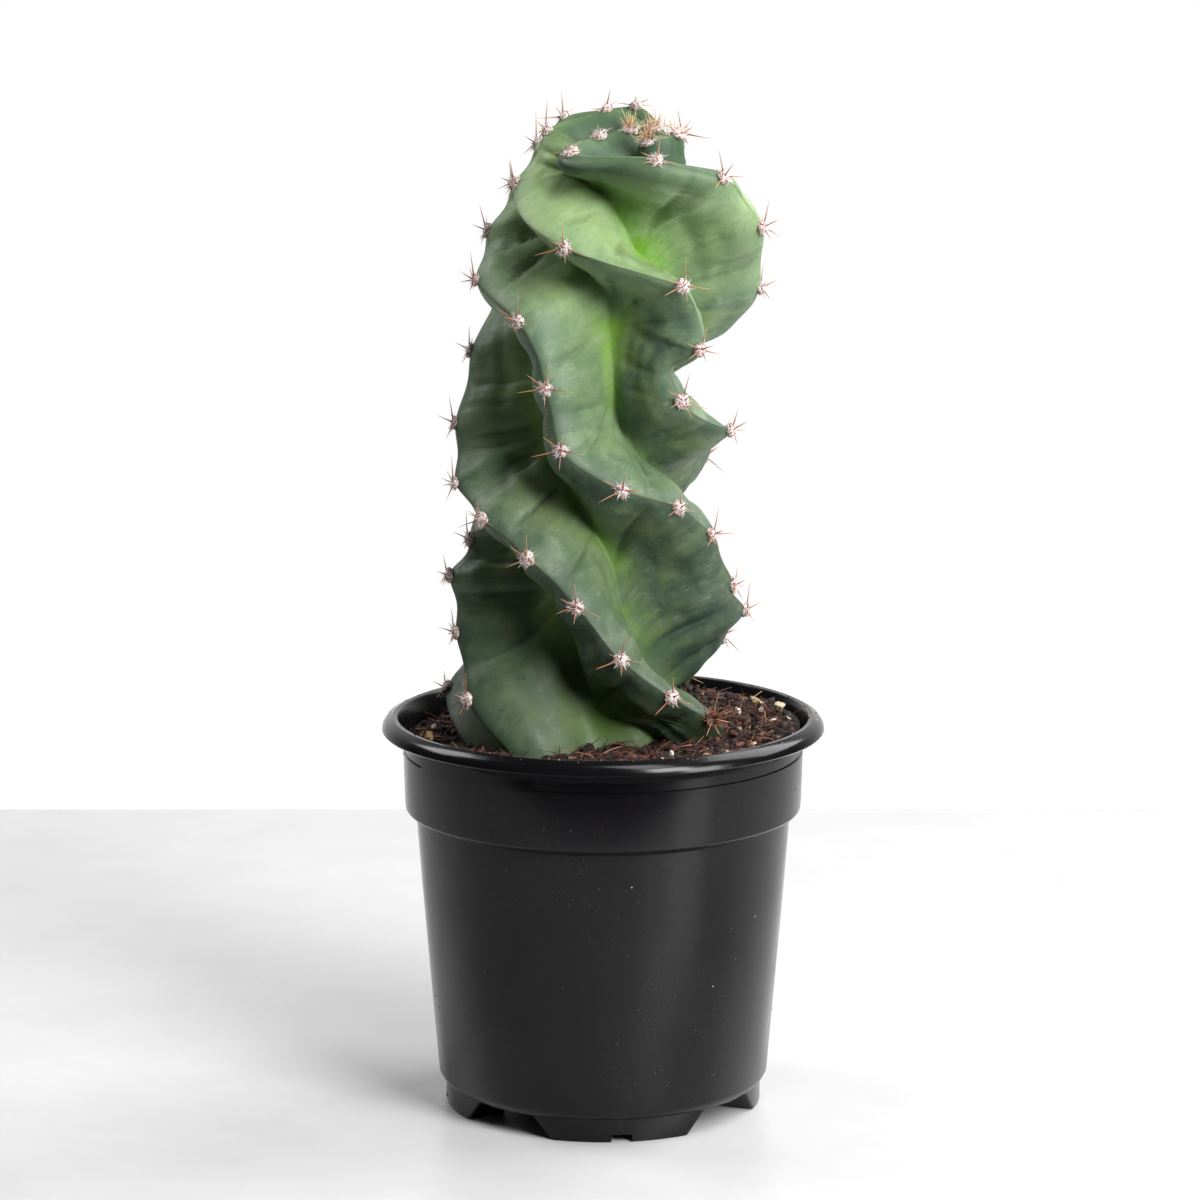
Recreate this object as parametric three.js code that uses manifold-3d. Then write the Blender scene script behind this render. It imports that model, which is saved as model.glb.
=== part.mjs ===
// Potted spiral cactus: a four-ribbed stem twisted like a screw, in potting mix, in a black nursery pot.
// Millimetres, +Z up, origin on the floor at the middle of the pot, front of the plant towards -Y.
// Bearings are in degrees from the front, growing towards +X.
import * as THREE from "three";
import { mergeVertices } from "three/addons/utils/BufferGeometryUtils.js";
import Module from "manifold-3d";

const wasm = await Module();
wasm.setup();

// POT SIZES
const RIM_RADIUS = 65;
const RIM_TOP = 116.5;
const WALL = 1.2;
const COLLAR_BOTTOM = 89.5;
const FLOOR_UNDER = 6.8;
const FLOOR_TOP = 9.4;
const FOOT_RING_RADIUS = 46.8;
const FOOT_HEIGHT = 6.9;
const FOOT_INNER_RADIUS = 34;
const FOOT_COUNT = 4;
const FIRST_FOOT_BEARING = 6.6;
const FOOT_HALF_ANGLE_TOP = 34;
const FOOT_HALF_ANGLE_BOTTOM = 25;
const FOOT_NOTCH_HEIGHT = 2.3;
const FOOT_NOTCH_WIDTH = 6;
const STRIP_BLOCK_BEARINGS = [-41.5, 138.5];
const STRIP_BLOCK_HALF_ANGLE = 22;
const DRAIN_RADIUS = 4.5;
const DRAIN_RING_RADIUS = 37;
const DRAIN_BEARINGS = [51.6, 141.6, 231.6, 321.6];
const DRAIN_CUT_LENGTH = 12;
const POT_SEGMENTS = 54;

// SOIL SIZES
const FIT_GAP = 0.35;
const SOIL_LEVEL = 112;
const SOIL_EDGE_RADIUS = 57.4;
const SOIL_SEGMENTS = 48;
const SOIL_RINGS = 10;
const SOIL_SLOPE_X = 0.04;
const SOIL_SLOPE_Y = 0.005;
const SOIL_HEAP_HEIGHT = 9;
const SOIL_HEAP_WIDTH = 9;
const SOIL_HEAP_X = 22;
const SOIL_HEAP_Y = 2;
const COARSE_LUMPS = 0.7;
const FINE_LUMPS = 0.5;
const GRAIN_COUNT = 60;
const GRAIN_SUNK = 0.3;
const GRAIN_SIZES = [1.2, 2];
const GRAIN_RING = [20, 54];

// STEM SIZES
// Distances up the stem are named "way": they equal the height until the crown bends over.
const CURVES_START = 60;
const STEM_FOOT = 72;
const STEM_TIP = 318;
const SHOULDER = 262;
const RIB_HALF_THICKNESS = 4.2;
const EDGE_FULLNESS = 0.86;
const FULL_REACH = 40;
const FOLD_SHARPNESS = 0.15;
const LEAN_SPAN = 6;
const BURIED_ROWS = [0, 8, 22, 29, 34];
const FIRST_SHOWN_ROW = 109;
const ROW_SPACING = 3.5;
const CROWN_ROW_SPACING = 2.9;
const POCKET_GAP = 0.7;
const POCKET_TOP = 150;
const EDGE_DIP = 1.3;
const FLANK_WAVE = 0.9;
const PAD_RADIUS = 2.3;
const PAD_FLATNESS = 0.6;
const PAD_LIFT = 0.5;
const SPINE_LENGTH = 7;
const SPINE_RADIUS = 0.38;
const SPINE_ROOT = 1;
const SPINE_CLEARANCE = 1;

const rad = (degrees) => degrees * Math.PI / 180;

// CURVES BY HAND
// Way up the stem against the sideways bend of the stem, towards +X and towards +Y.
const BEND = [
  [60, 0, 0], [110, -1, 0], [150, -2, 0], [200, -2, 0], [225, 0, 0],
  [245, 3, -0.5], [SHOULDER, 6.5, -2], [280, 10, -4.5], [298, 12.5, -7.5], [STEM_TIP, 14, -11],
];
// Way against height: the crown rounds over and sinks in the middle.
const HEIGHT = [[60, 60], [160, 160], [SHOULDER, SHOULDER], [272, 272], [282, 281], [290, 287], [298, 291],
  [305, 290], [311, 286], [STEM_TIP, 280]];
// Way against how far the floor of the folds lies below the rib edges.
const SINK = [[60, 0], [SHOULDER, 0], [280, 3], [289, 8], [296, 14], [303, 14], [310, 7], [STEM_TIP, 0]];
// Way against the usual reach of a rib edge, and of a fold, from the middle of the stem.
const RIB_REACH = [
  [60, 24], [90, 34], [105, 39], [120, FULL_REACH], [SHOULDER, FULL_REACH], [275, 38], [286, 33],
  [296, 24], [304, 15], [311, 8], [STEM_TIP, 0],
];
const FOLD_REACH = [
  [60, 17], [90, 18], [SHOULDER, 18], [278, 18], [290, 13], [300, 8], [309, 4], [STEM_TIP, 0],
];

// RIBS from the crown down into the ground: way, bearing, reach.
// Each row is an areole, except rows ending in SHAPE, which only guide the rib edge.
// A fourth number in a row is how far the edge hangs below the general slope of the crown.
const SHAPE = "shape";
const RIBS = [
  [[STEM_TIP, -430, 0, SHAPE], [310, -370, 5], [300, -290, 9, 2], [289, -227, 15], [281, -197, 24],
    [270, -185, 35], [255, -160, 39], [238, -132, 39], [219, -104, 39], [202, -91, 41], [187, -76, 42],
    [179, -53, 41], [169.5, -28.5, 41], [156.5, -8, 41], [141, 9.5, 41], [128.5, 31, 41],
    [119.5, 52, 41], [108, 80, 36, SHAPE], [60, 120, 24, SHAPE]],
  [[STEM_TIP, -340, 0, SHAPE], [307, -255, 7, 4], [301, -213, 12, 6, SHAPE], [296, -172, 18],
    [286, -130, 29], [276, -118, 32], [264, -108, 34.5], [251, -95, 37.5], [240, -75, 40],
    [234, -38, 41], [217, -22, 41], [201, -14, 41], [190, 10, 41], [184, 35, 41], [174.5, 54, 41],
    [157, 76, 41], [147.5, 90, 43.5], [136, 112, 40], [122, 138, 37], [108, 160, 33, SHAPE],
    [60, 200, 24, SHAPE]],
  [[STEM_TIP, -260, 0, SHAPE], [305, -190, 8, 3], [295, -136, 16], [286, -93, 27],
    [277, -86, 30, SHAPE], [267.5, -80, 33], [259, -24, 41], [255, 25, 41], [233, 42, 39.5],
    [225, 35, 34.5, SHAPE], [216.5, 37, 38.5], [205.5, 66, 42], [202, 84, 39, SHAPE],
    [197, 103, 37, SHAPE], [190, 122, 37.5], [176, 150, 38], [163, 173, 39], [150, 198, 41],
    [137, 228, 42], [124.5, 262, 45], [108, 296, 40, SHAPE], [60, 345, 24, SHAPE]],
  [[STEM_TIP, -180, 0, SHAPE], [310, -130, 7], [302, -92, 14, 5], [297, -48, 29, 6], [293, 5, 33],
    [288.5, 37, 37], [280, 54, 38, SHAPE], [271.5, 68, 39.5], [262, 84, 40.5, SHAPE], [250, 96, 41.5],
    [243, 104, 43, SHAPE], [237, 115, 42.5, SHAPE], [232, 130, 39.5], [214, 163, 39], [198, 197, 39],
    [183, 235, 38], [169, 270, 37], [158.5, 273, 43], [143, 279, 41.5], [126, 296, 42],
    [112, 320, 40, SHAPE], [60, 360, 24, SHAPE]],
];
// FOLDS between one rib and the next: way, bearing, reach of the fold's floor
const FOLDS = [
  [[STEM_TIP, -385, 0], [308, -310, 3], [298, -235, 7], [288, -180, 12], [278, -160, 17],
    [262, -140, 18], [245, -110, 18], [232, -85, 18], [217, -65, 18], [201, -52, 18], [193, -40, 18],
    [189, -30, 18], [185, -20, 18], [177.5, -8, 18], [170.5, 5, 18], [162, 16, 18], [152, 22, 18],
    [143, 30, 18], [134, 38, 18], [129.5, 52, 18], [120, 85, 20], [108, 115, 22], [60, 160, 17]],
  [[STEM_TIP, -300, 0], [306, -222, 3], [295, -153, 9], [286, -112, 20], [277, -102, 24],
    [267, -95, 25], [259, -75, 22], [254, -45, 19], [250, -21, 18], [246.5, -13, 18], [243, -3, 18],
    [238, -1, 18], [234, 2, 18], [224.5, 8, 18], [209, 18, 18], [203, 25, 18], [193, 45, 18],
    [188, 75, 18], [180, 95, 18], [160, 125, 18], [141, 160, 18], [124, 200, 19], [108, 225, 22],
    [60, 270, 17]],
  [[STEM_TIP, -220, 0], [308, -160, 3], [300, -114, 7], [294, -82, 12], [288, -70, 18], [281, -62, 23],
    [276, -46, 19], [273, -25, 18], [269, -17, 18], [264.5, -5, 18], [258, 10, 18], [254, 35, 18],
    [246, 62, 18], [238, 76, 17], [231, 92, 16], [225, 96, 16], [219, 86, 16], [213, 70, 16],
    [208, 76, 17], [203, 95, 18], [198, 115, 18], [190, 150, 18], [175, 190, 18], [158, 225, 18],
    [141, 250, 18], [125, 280, 20], [108, 310, 24], [60, 350, 17]],
  [[STEM_TIP, -120, 0], [308, -70, 3], [300, -10, 7], [293, 60, 11], [285, 105, 14], [275, 128, 17],
    [262, 140, 18], [245, 155, 18], [228, 190, 18], [212, 215, 18], [195, 245, 18], [180, 268, 18],
    [168, 285, 18], [161, 300, 18], [157, 322, 18], [148, 335, 18], [141, 341, 18], [130, 350, 18],
    [121, 360, 19], [117, 390, 22], [108, 412, 24], [60, 450, 17]],
];

// A smooth curve through hand-set points that never overshoots them.
function through(points, column) {
  const rows = [...points].sort((a, b) => a[0] - b[0]);
  const x = rows.map((row) => row[0]);
  const y = rows.map((row) => row[column]);
  const last = x.length - 1;
  const slope = [];
  for (let i = 0; i < last; i++) slope.push((y[i + 1] - y[i]) / (x[i + 1] - x[i]));
  const tangent = slope.map((here, i) => {
    if (i === 0) return here;
    const before = slope[i - 1];
    return before * here > 0 ? 2 * before * here / (before + here) : 0;
  });
  tangent.push(slope[last - 1]);
  return (at) => {
    const t = Math.min(Math.max(at, x[0]), x[last]);
    let i = 0;
    while (i < last - 1 && t > x[i + 1]) i++;
    const h = x[i + 1] - x[i];
    const s = (t - x[i]) / h;
    const rise = s * s * (3 - 2 * s);
    return y[i] * (1 - rise) + y[i + 1] * rise
      + h * s * (1 - s) * ((1 - s) * tangent[i] - s * tangent[i + 1]);
  };
}

const bendX = through(BEND, 1);
const bendY = through(BEND, 2);
const heightAt = through(HEIGHT, 1);
const sinkAt = through(SINK, 1);
const ribReach = through(RIB_REACH, 1);
const foldReach = through(FOLD_REACH, 1);
function lean(bend, way) {
  return (bend(Math.min(way + LEAN_SPAN, STEM_TIP)) - bend(way - LEAN_SPAN)) / (2 * LEAN_SPAN);
}

// Step along a run, how far up and down it the nearest spot is looked for, and the shares of a rib's reach
// at which distances to a rib edge and to a fold are measured across the skin.
const RUN_STEP = 0.5;
const RUN_WINDOW = 60;
const RIB_SHARE = 0.95;
const FOLD_SHARE = 0.7;

// A run along the skin: bearing by way, how its reach compares with the usual reach there, and a count that
// passes a whole number at each areole.
function skinRun(points, usual) {
  const bearing = through(points, 1);
  const reach = through(points, 2);
  const drop = through(points.map((row) => [row[0], Number(row[3]) || 0]), 1);
  const areoles = points.filter((row) => row.at(-1) !== SHAPE).map((row) => row[0]);
  const countAt = (way) => {
    const below = areoles.findIndex((here) => here <= way);
    if (below === -1) return areoles.length;
    if (below === 0) return 0;
    return below - (way - areoles[below]) / (areoles[below - 1] - areoles[below]);
  };
  const steps = [];
  for (let way = CURVES_START; way < STEM_TIP; way += RUN_STEP) {
    const count = countAt(way);
    const share = reach(way) / Math.max(usual(way), 0.5);
    steps.push({ way, bearing: bearing(way), count, share, drop: drop(way) });
  }
  return { bearing, reach, drop, areoles, steps };
}
const ribRuns = RIBS.map((points) => skinRun(points, ribReach));
const foldRuns = FOLDS.map((points) => skinRun(points, foldReach));

// Shortest way across the skin from a spot to a run, with the run's values where it is nearest.
function nearestOn(run, way, bearing, radius) {
  let best = { distance: Infinity };
  for (let i = 1; i < run.steps.length; i++) {
    const a = run.steps[i - 1];
    const b = run.steps[i];
    if (Math.abs(a.way - way) > RUN_WINDOW) continue;
    const ax = rad(a.bearing - bearing) * radius;
    const ay = a.way - way;
    const dx = rad(b.bearing - a.bearing) * radius;
    const dy = b.way - a.way;
    const part = Math.min(Math.max(-(ax * dx + ay * dy) / (dx * dx + dy * dy), 0), 1);
    const distance = Math.hypot(ax + dx * part, ay + dy * part);
    if (distance < best.distance) {
      const between = (name) => a[name] + (b[name] - a[name]) * part;
      best = { distance, share: between("share"), count: between("count"), drop: between("drop") };
    }
  }
  return best;
}

// Share of the full rib height at a spot: rounded and plump at the rib edge, creased in the fold.
function ribShape(fromRib, fromFold) {
  const across = Math.max(fromRib + fromFold, 0.1);
  const s = fromRib / across;
  const near = Math.min(Math.max(RIB_HALF_THICKNESS / across, 0.12), 0.75);
  const power = Math.log(EDGE_FULLNESS) / Math.log(Math.cos(Math.PI * near / 2));
  const rounded = Math.cos(Math.PI * s / 2) ** Math.min(Math.max(power, 0.6), 3.4);
  return (1 - FOLD_SHARPNESS) * rounded + FOLD_SHARPNESS * (1 - s);
}

// A spot on the skin. Flank 0 runs from rib 0 to fold 0, flank 1 from rib 1 to fold 0, flank 2 from
// rib 1 to fold 1, and so on round the stem; part is 0 on the rib edge and 1 in the fold.
function skin(flank, part, way, extra = 0) {
  const foldIndex = Math.floor(flank / 2);
  const rib = ribRuns[(foldIndex + flank % 2) % 4];
  const fold = foldRuns[foldIndex];
  const turn = flank === 7 ? 360 : 0;
  const bearing = (rib.bearing(way) + turn) * (1 - part) + fold.bearing(way) * part;
  const round = Math.max(ribReach(way), 3);
  const onRib = nearestOn(rib, way, bearing - turn, round * RIB_SHARE);
  const onFold = nearestOn(fold, way, bearing, round * FOLD_SHARE);
  const f = ribShape(onRib.distance, onFold.distance);
  const size = ribReach(way) / FULL_REACH;
  const between = Math.sin(Math.PI * onRib.count) ** 2 * size;
  const dip = between * (EDGE_DIP * f ** 3 + FLANK_WAVE * 4 * f * (1 - f));
  const inner = foldReach(way) * onFold.share;
  const reach = inner + (ribReach(way) * onRib.share - inner) * f - dip + extra;
  return spot(way, bearing, reach, sinkAt(way) * (1 - f) + onRib.drop * f);
}

// A place given by way, bearing and reach, on the bent and leaning stem.
function spot(way, bearing, reach, sink = 0) {
  const x = reach * Math.sin(rad(bearing));
  const y = -reach * Math.cos(rad(bearing));
  const z = heightAt(way) - sink - lean(bendX, way) * x - lean(bendY, way) * y;
  return new THREE.Vector3(x + bendX(way), y + bendY(way), z);
}

// SOLIDS
// A triangle mesh as a solid that can be joined and cut.
function toSolid(geometry) {
  const plain = geometry.clone();
  plain.deleteAttribute("normal");
  plain.deleteAttribute("uv");
  const welded = mergeVertices(plain, 1e-4);
  const vertProperties = new Float32Array(welded.attributes.position.array);
  const triVerts = new Uint32Array(welded.index.array);
  return new wasm.Manifold(new wasm.Mesh({ numProp: 3, vertProperties, triVerts }));
}

function toGeometry(solid) {
  const { vertProperties, triVerts } = solid.getMesh();
  const geometry = new THREE.BufferGeometry();
  geometry.setAttribute("position", new THREE.BufferAttribute(new Float32Array(vertProperties), 3));
  geometry.setIndex(Array.from(triVerts));
  geometry.computeVertexNormals();
  return geometry;
}

function part(name, geometry, color, roughness) {
  const material = new THREE.MeshStandardMaterial({ color, roughness, metalness: 0 });
  const mesh = new THREE.Mesh(geometry, material);
  mesh.name = name;
  return mesh;
}

// Repeatable chance, so that every build gives the same plant.
function chance(seed) {
  let state = seed;
  return () => {
    state = (state * 1664525 + 1013904223) % 4294967296;
    return state / 4294967296;
  };
}

// A lathe profile turned about the upright axis of the pot.
function turned(profile, segments) {
  const points = profile.map(([radius, height]) => new THREE.Vector2(radius, height));
  const geometry = new THREE.LatheGeometry(points, segments);
  geometry.rotateX(Math.PI / 2);
  return geometry;
}

// A block bent round the pot: lower and upper heights each with their own half angle.
function ringBlock(bearing, inner, outer, low, high, halfAngleLow, halfAngleHigh, steps = 8) {
  const rows = [];
  for (let i = 0; i <= steps; i++) {
    const share = 2 * i / steps - 1;
    const place = (radius, height, halfAngle) => {
      const angle = rad(bearing + halfAngle * share);
      return [radius * Math.sin(angle), -radius * Math.cos(angle), height];
    };
    rows.push([
      place(inner, low, halfAngleLow), place(inner, high, halfAngleHigh),
      place(outer, high, halfAngleHigh), place(outer, low, halfAngleLow),
    ]);
  }
  return loft(rows);
}

// Skin over rows of equal length; the rows close round on themselves, and the ends are capped.
function loft(rows) {
  const width = rows[0].length;
  const positions = rows.flat(2);
  const index = [];
  for (let i = 0; i + 1 < rows.length; i++) {
    for (let j = 0; j < width; j++) {
      const a = i * width + j;
      const b = i * width + (j + 1) % width;
      index.push(a, b, b + width, a, b + width, a + width);
    }
  }
  const cap = (row, flip) => {
    const centre = rows[row].reduce((sum, p) => sum.map((value, k) => value + p[k] / width), [0, 0, 0]);
    const hub = positions.length / 3;
    positions.push(...centre);
    for (let j = 0; j < width; j++) {
      const a = row * width + j;
      const b = row * width + (j + 1) % width;
      index.push(...(flip ? [hub, b, a] : [hub, a, b]));
    }
  };
  cap(0, true);
  cap(rows.length - 1, false);
  const geometry = new THREE.BufferGeometry();
  geometry.setAttribute("position", new THREE.Float32BufferAttribute(positions, 3));
  geometry.setIndex(index);
  return geometry;
}

// POT
// Injection-moulded wall with a rolled rim, a collar, a stepped lower wall and a raised floor.
function buildPot() {
  const outside = [
    [0, FLOOR_UNDER], [43.5, FLOOR_UNDER], [45.6, FLOOR_UNDER - 0.2], [FOOT_RING_RADIUS, FLOOR_UNDER],
    [47.9, 7.9], [48.8, 9.6], [53.6, 67], [55.1, 87.3], [56.2, 88.2], [57.6, 88.8],
    [58.2, COLLAR_BOTTOM], [58.4, 91.5], [58.8, 106.2], [58.3, 106.5], [58.4, 109.2], [59.2, 109.6],
    [60.8, 111.2], [64.4, 112.2], [RIM_RADIUS, 112.8], [64.8, 114], [63.7, 115.6], [61.8, RIM_TOP],
    [60.5, 116.3], [59.9, 115.3],
  ];
  const inside = [
    [58.2, 109], [57, 92.5], [54.2, 89.6], [53.8, 87], [53.6 - WALL, 67],
    [47.9, 11.5], [45.8, FLOOR_TOP], [0, FLOOR_TOP],
  ];
  let pot = toSolid(turned([...outside, ...inside], POT_SEGMENTS));
  for (let i = 0; i < FOOT_COUNT; i++) {
    const bearing = FIRST_FOOT_BEARING + 360 * i / FOOT_COUNT;
    const foot = ringBlock(bearing, FOOT_INNER_RADIUS, FOOT_RING_RADIUS, 0, FOOT_HEIGHT + 0.8,
      FOOT_HALF_ANGLE_BOTTOM, FOOT_HALF_ANGLE_TOP);
    const notch = new THREE.BoxGeometry(FOOT_NOTCH_WIDTH, 2 * FOOT_RING_RADIUS, 2 * FOOT_NOTCH_HEIGHT);
    notch.translate(0, -FOOT_RING_RADIUS, 0);
    notch.rotateZ(rad(bearing));
    pot = pot.add(toSolid(foot)).subtract(toSolid(notch));
  }
  for (const bearing of STRIP_BLOCK_BEARINGS) {
    const block = ringBlock(bearing, 57.8, 58.8, 105.9, 110, STRIP_BLOCK_HALF_ANGLE, STRIP_BLOCK_HALF_ANGLE);
    pot = pot.add(toSolid(block));
  }
  for (const bearing of DRAIN_BEARINGS) {
    const hole = new THREE.CylinderGeometry(DRAIN_RADIUS, DRAIN_RADIUS, DRAIN_CUT_LENGTH, 14);
    hole.rotateX(Math.PI / 2);
    hole.translate(0, -DRAIN_RING_RADIUS, FLOOR_UNDER);
    hole.rotateZ(rad(bearing));
    pot = pot.subtract(toSolid(hole));
  }
  return pot;
}

// STEM
const FLANK_PARTS = [[0, 0.14, 0.32, 0.54, 0.78], [1, 0.78, 0.54, 0.32, 0.14]];

// Ways of the rows: close over the ribs, closer still over the crown, few below the soil.
function stemWays(foot) {
  const ways = BURIED_ROWS.map((above) => foot + above);
  for (let way = FIRST_SHOWN_ROW; way < SHOULDER; way += ROW_SPACING) ways.push(way);
  const lastRow = STEM_TIP - CROWN_ROW_SPACING;
  for (let way = SHOULDER + 1; way < lastRow; way += CROWN_ROW_SPACING) ways.push(way);
  return ways;
}

// The whole skin of the stem as a closed solid, or a fatter one to cut its pocket with.
function stemSkin(extra, foot, top) {
  const rows = stemWays(foot).filter((way) => way <= top).map((way) => {
    const row = [];
    for (let flank = 0; flank < 8; flank++) {
      for (const share of FLANK_PARTS[flank % 2]) row.push(skin(flank, share, way, extra).toArray());
    }
    return row;
  });
  return toSolid(loft(rows));
}

// One spine: a thin three-sided point with its root sunk into the pad.
function spineGeometry(root, direction, length) {
  const geometry = new THREE.ConeGeometry(SPINE_RADIUS, length + SPINE_ROOT, 3);
  geometry.translate(0, (length - SPINE_ROOT) / 2, 0);
  const upwards = new THREE.Vector3(0, 1, 0);
  geometry.applyQuaternion(new THREE.Quaternion().setFromUnitVectors(upwards, direction));
  geometry.translate(root.x, root.y, root.z);
  return geometry;
}

// Every areole: its place on the rib edge, which way it looks, and which way is sideways and down from it.
function areolesOfStem() {
  const found = [];
  for (const run of ribRuns) {
    for (const way of run.areoles) {
      const bearing = run.bearing(way);
      // Areoles look outward on the sides and turn up towards the sky over the crown.
      const upright = Math.min(Math.max((heightAt(way + 1) - heightAt(way - 1)) / 2, 0), 1);
      const look = new THREE.Vector3(Math.sin(rad(bearing)), -Math.cos(rad(bearing)), 0);
      look.multiplyScalar(0.3 + 0.7 * upright).setZ(1.02 - 0.9 * upright).normalize();
      const place = spot(way, bearing, run.reach(way), run.drop(way));
      const across = new THREE.Vector3(Math.cos(rad(bearing)), Math.sin(rad(bearing)), 0);
      found.push({ place, look, across, down: new THREE.Vector3().crossVectors(across, look).negate() });
    }
  }
  return found;
}

// Angle round the pad at which each spine stands, from straight down, how far it tips over, and its
// share of the usual length.
const SPINE_STANDS = [[8, 75, 1], [105, 77, 1], [-112, 77, 1], [0, 18, 0.65]];
const STAND_SPREAD = 24;
const TIP_SPREAD = 12;
const LENGTH_SPREAD = 0.6;

// Woolly pads and their spines, to be joined to the stem.
function padsAndSpines() {
  const random = chance(11);
  const pieces = [];
  for (const { place, look, across, down } of areolesOfStem()) {
    const pad = new THREE.OctahedronGeometry(PAD_RADIUS);
    pad.scale(1, 1, PAD_FLATNESS);
    pad.applyQuaternion(new THREE.Quaternion().setFromUnitVectors(new THREE.Vector3(0, 0, 1), look));
    pad.translate(place.x, place.y, place.z);
    pieces.push(toSolid(pad));
    for (const [roundPad, tip, share] of SPINE_STANDS) {
      const turn = rad(roundPad + STAND_SPREAD * (random() - 0.5));
      const over = rad(tip + TIP_SPREAD * (random() - 0.5));
      const length = share * SPINE_LENGTH * (1 + LENGTH_SPREAD * (random() - 0.5));
      const side = down.clone().multiplyScalar(Math.cos(turn)).addScaledVector(across, Math.sin(turn));
      const direction = look.clone().multiplyScalar(Math.cos(over)).addScaledVector(side, Math.sin(over));
      const end = place.clone().addScaledVector(direction, length);
      if (end.z < soilHeight(end.x, end.y) + SPINE_CLEARANCE) continue;
      const root = place.clone().addScaledVector(look, PAD_LIFT);
      pieces.push(toSolid(spineGeometry(root, direction, length)));
    }
  }
  return pieces;
}

// SOIL
// Height of the potting mix: lower on the left, heaped in the fold of the stem on the right.
function soilHeight(x, y) {
  const fromHeap = Math.hypot(x - SOIL_HEAP_X, y - SOIL_HEAP_Y) / SOIL_HEAP_WIDTH;
  const heap = SOIL_HEAP_HEIGHT * Math.exp(-fromHeap * fromHeap);
  const coarse = COARSE_LUMPS * Math.sin(x / 3.6 + 1) * Math.cos(y / 4.1);
  const fine = FINE_LUMPS * Math.sin(x / 2.2 + y / 3.1);
  return SOIL_LEVEL + SOIL_SLOPE_X * x + SOIL_SLOPE_Y * y + heap + coarse + fine;
}

function buildSoil() {
  const around = (radius, height) => {
    const row = [];
    for (let j = 0; j < SOIL_SEGMENTS; j++) {
      const angle = 2 * Math.PI * j / SOIL_SEGMENTS;
      const x = radius * Math.sin(angle);
      const y = -radius * Math.cos(angle);
      row.push([x, y, height ?? soilHeight(x, y)]);
    }
    return row;
  };
  const side = [[45.3, FLOOR_TOP + FIT_GAP], [47.4, 12], [52, 67], [53.4, 87], [53.7, 90.1], [56.5, 93.1]];
  const rows = side.map(([radius, height]) => around(radius, height));
  for (let i = 0; i < SOIL_RINGS; i++) rows.push(around(SOIL_EDGE_RADIUS * (1 - i / SOIL_RINGS)));
  const soil = toSolid(loft(rows));
  const random = chance(29);
  const grains = [];
  for (let i = 0; i < GRAIN_COUNT; i++) {
    const angle = 2 * Math.PI * random();
    const radius = GRAIN_RING[0] + (GRAIN_RING[1] - GRAIN_RING[0]) * Math.sqrt(random());
    const size = GRAIN_SIZES[0] + (GRAIN_SIZES[1] - GRAIN_SIZES[0]) * random();
    const x = radius * Math.sin(angle);
    const y = -radius * Math.cos(angle);
    const grain = new THREE.OctahedronGeometry(size);
    grain.rotateX(3 * random());
    grain.rotateZ(3 * random());
    grain.translate(x, y, soilHeight(x, y) - GRAIN_SUNK);
    grains.push(toSolid(grain));
  }
  const pocket = stemSkin(POCKET_GAP, STEM_FOOT - FIT_GAP, POCKET_TOP);
  const loose = grains.filter((grain) => grain.intersect(pocket).isEmpty());
  return loose.reduce((whole, grain) => whole.add(grain), soil).subtract(pocket);
}

// THE WHOLE PLANT IN ITS POT
const plant = new THREE.Group();
plant.name = "potted_spiral_cactus";
plant.add(part("pot", toGeometry(buildPot()), 0x17181a, 0.38));
plant.add(part("soil", toGeometry(buildSoil()), 0x3b2a20, 0.95));
const cactus = padsAndSpines().reduce((whole, piece) => whole.add(piece), stemSkin(0, STEM_FOOT, STEM_TIP));
plant.add(part("cactus", toGeometry(cactus), 0x4f7a4a, 0.6));

export default plant;
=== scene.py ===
import math
import random

import bmesh
import bpy
import numpy as np
from mathutils import Matrix, Vector, noise
from mathutils.bvhtree import BVHTree


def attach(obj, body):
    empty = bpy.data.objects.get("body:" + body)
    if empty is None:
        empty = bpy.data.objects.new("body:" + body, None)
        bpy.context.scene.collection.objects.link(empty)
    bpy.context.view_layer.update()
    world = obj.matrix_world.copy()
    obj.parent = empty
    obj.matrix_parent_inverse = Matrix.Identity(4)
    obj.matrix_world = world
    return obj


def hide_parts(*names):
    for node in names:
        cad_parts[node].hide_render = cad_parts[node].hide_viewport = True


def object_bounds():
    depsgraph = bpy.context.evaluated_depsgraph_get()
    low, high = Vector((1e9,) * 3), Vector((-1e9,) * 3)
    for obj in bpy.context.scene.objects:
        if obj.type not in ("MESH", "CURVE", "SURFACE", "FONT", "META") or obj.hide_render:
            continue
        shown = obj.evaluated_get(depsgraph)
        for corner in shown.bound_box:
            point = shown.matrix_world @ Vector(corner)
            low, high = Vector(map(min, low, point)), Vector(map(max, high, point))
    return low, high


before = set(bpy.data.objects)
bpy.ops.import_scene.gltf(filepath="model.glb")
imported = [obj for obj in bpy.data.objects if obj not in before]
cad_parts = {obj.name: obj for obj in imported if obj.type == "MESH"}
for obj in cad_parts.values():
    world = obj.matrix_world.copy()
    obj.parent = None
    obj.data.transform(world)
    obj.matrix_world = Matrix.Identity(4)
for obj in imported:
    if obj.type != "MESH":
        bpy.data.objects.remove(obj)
cad_low, cad_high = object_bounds()

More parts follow.
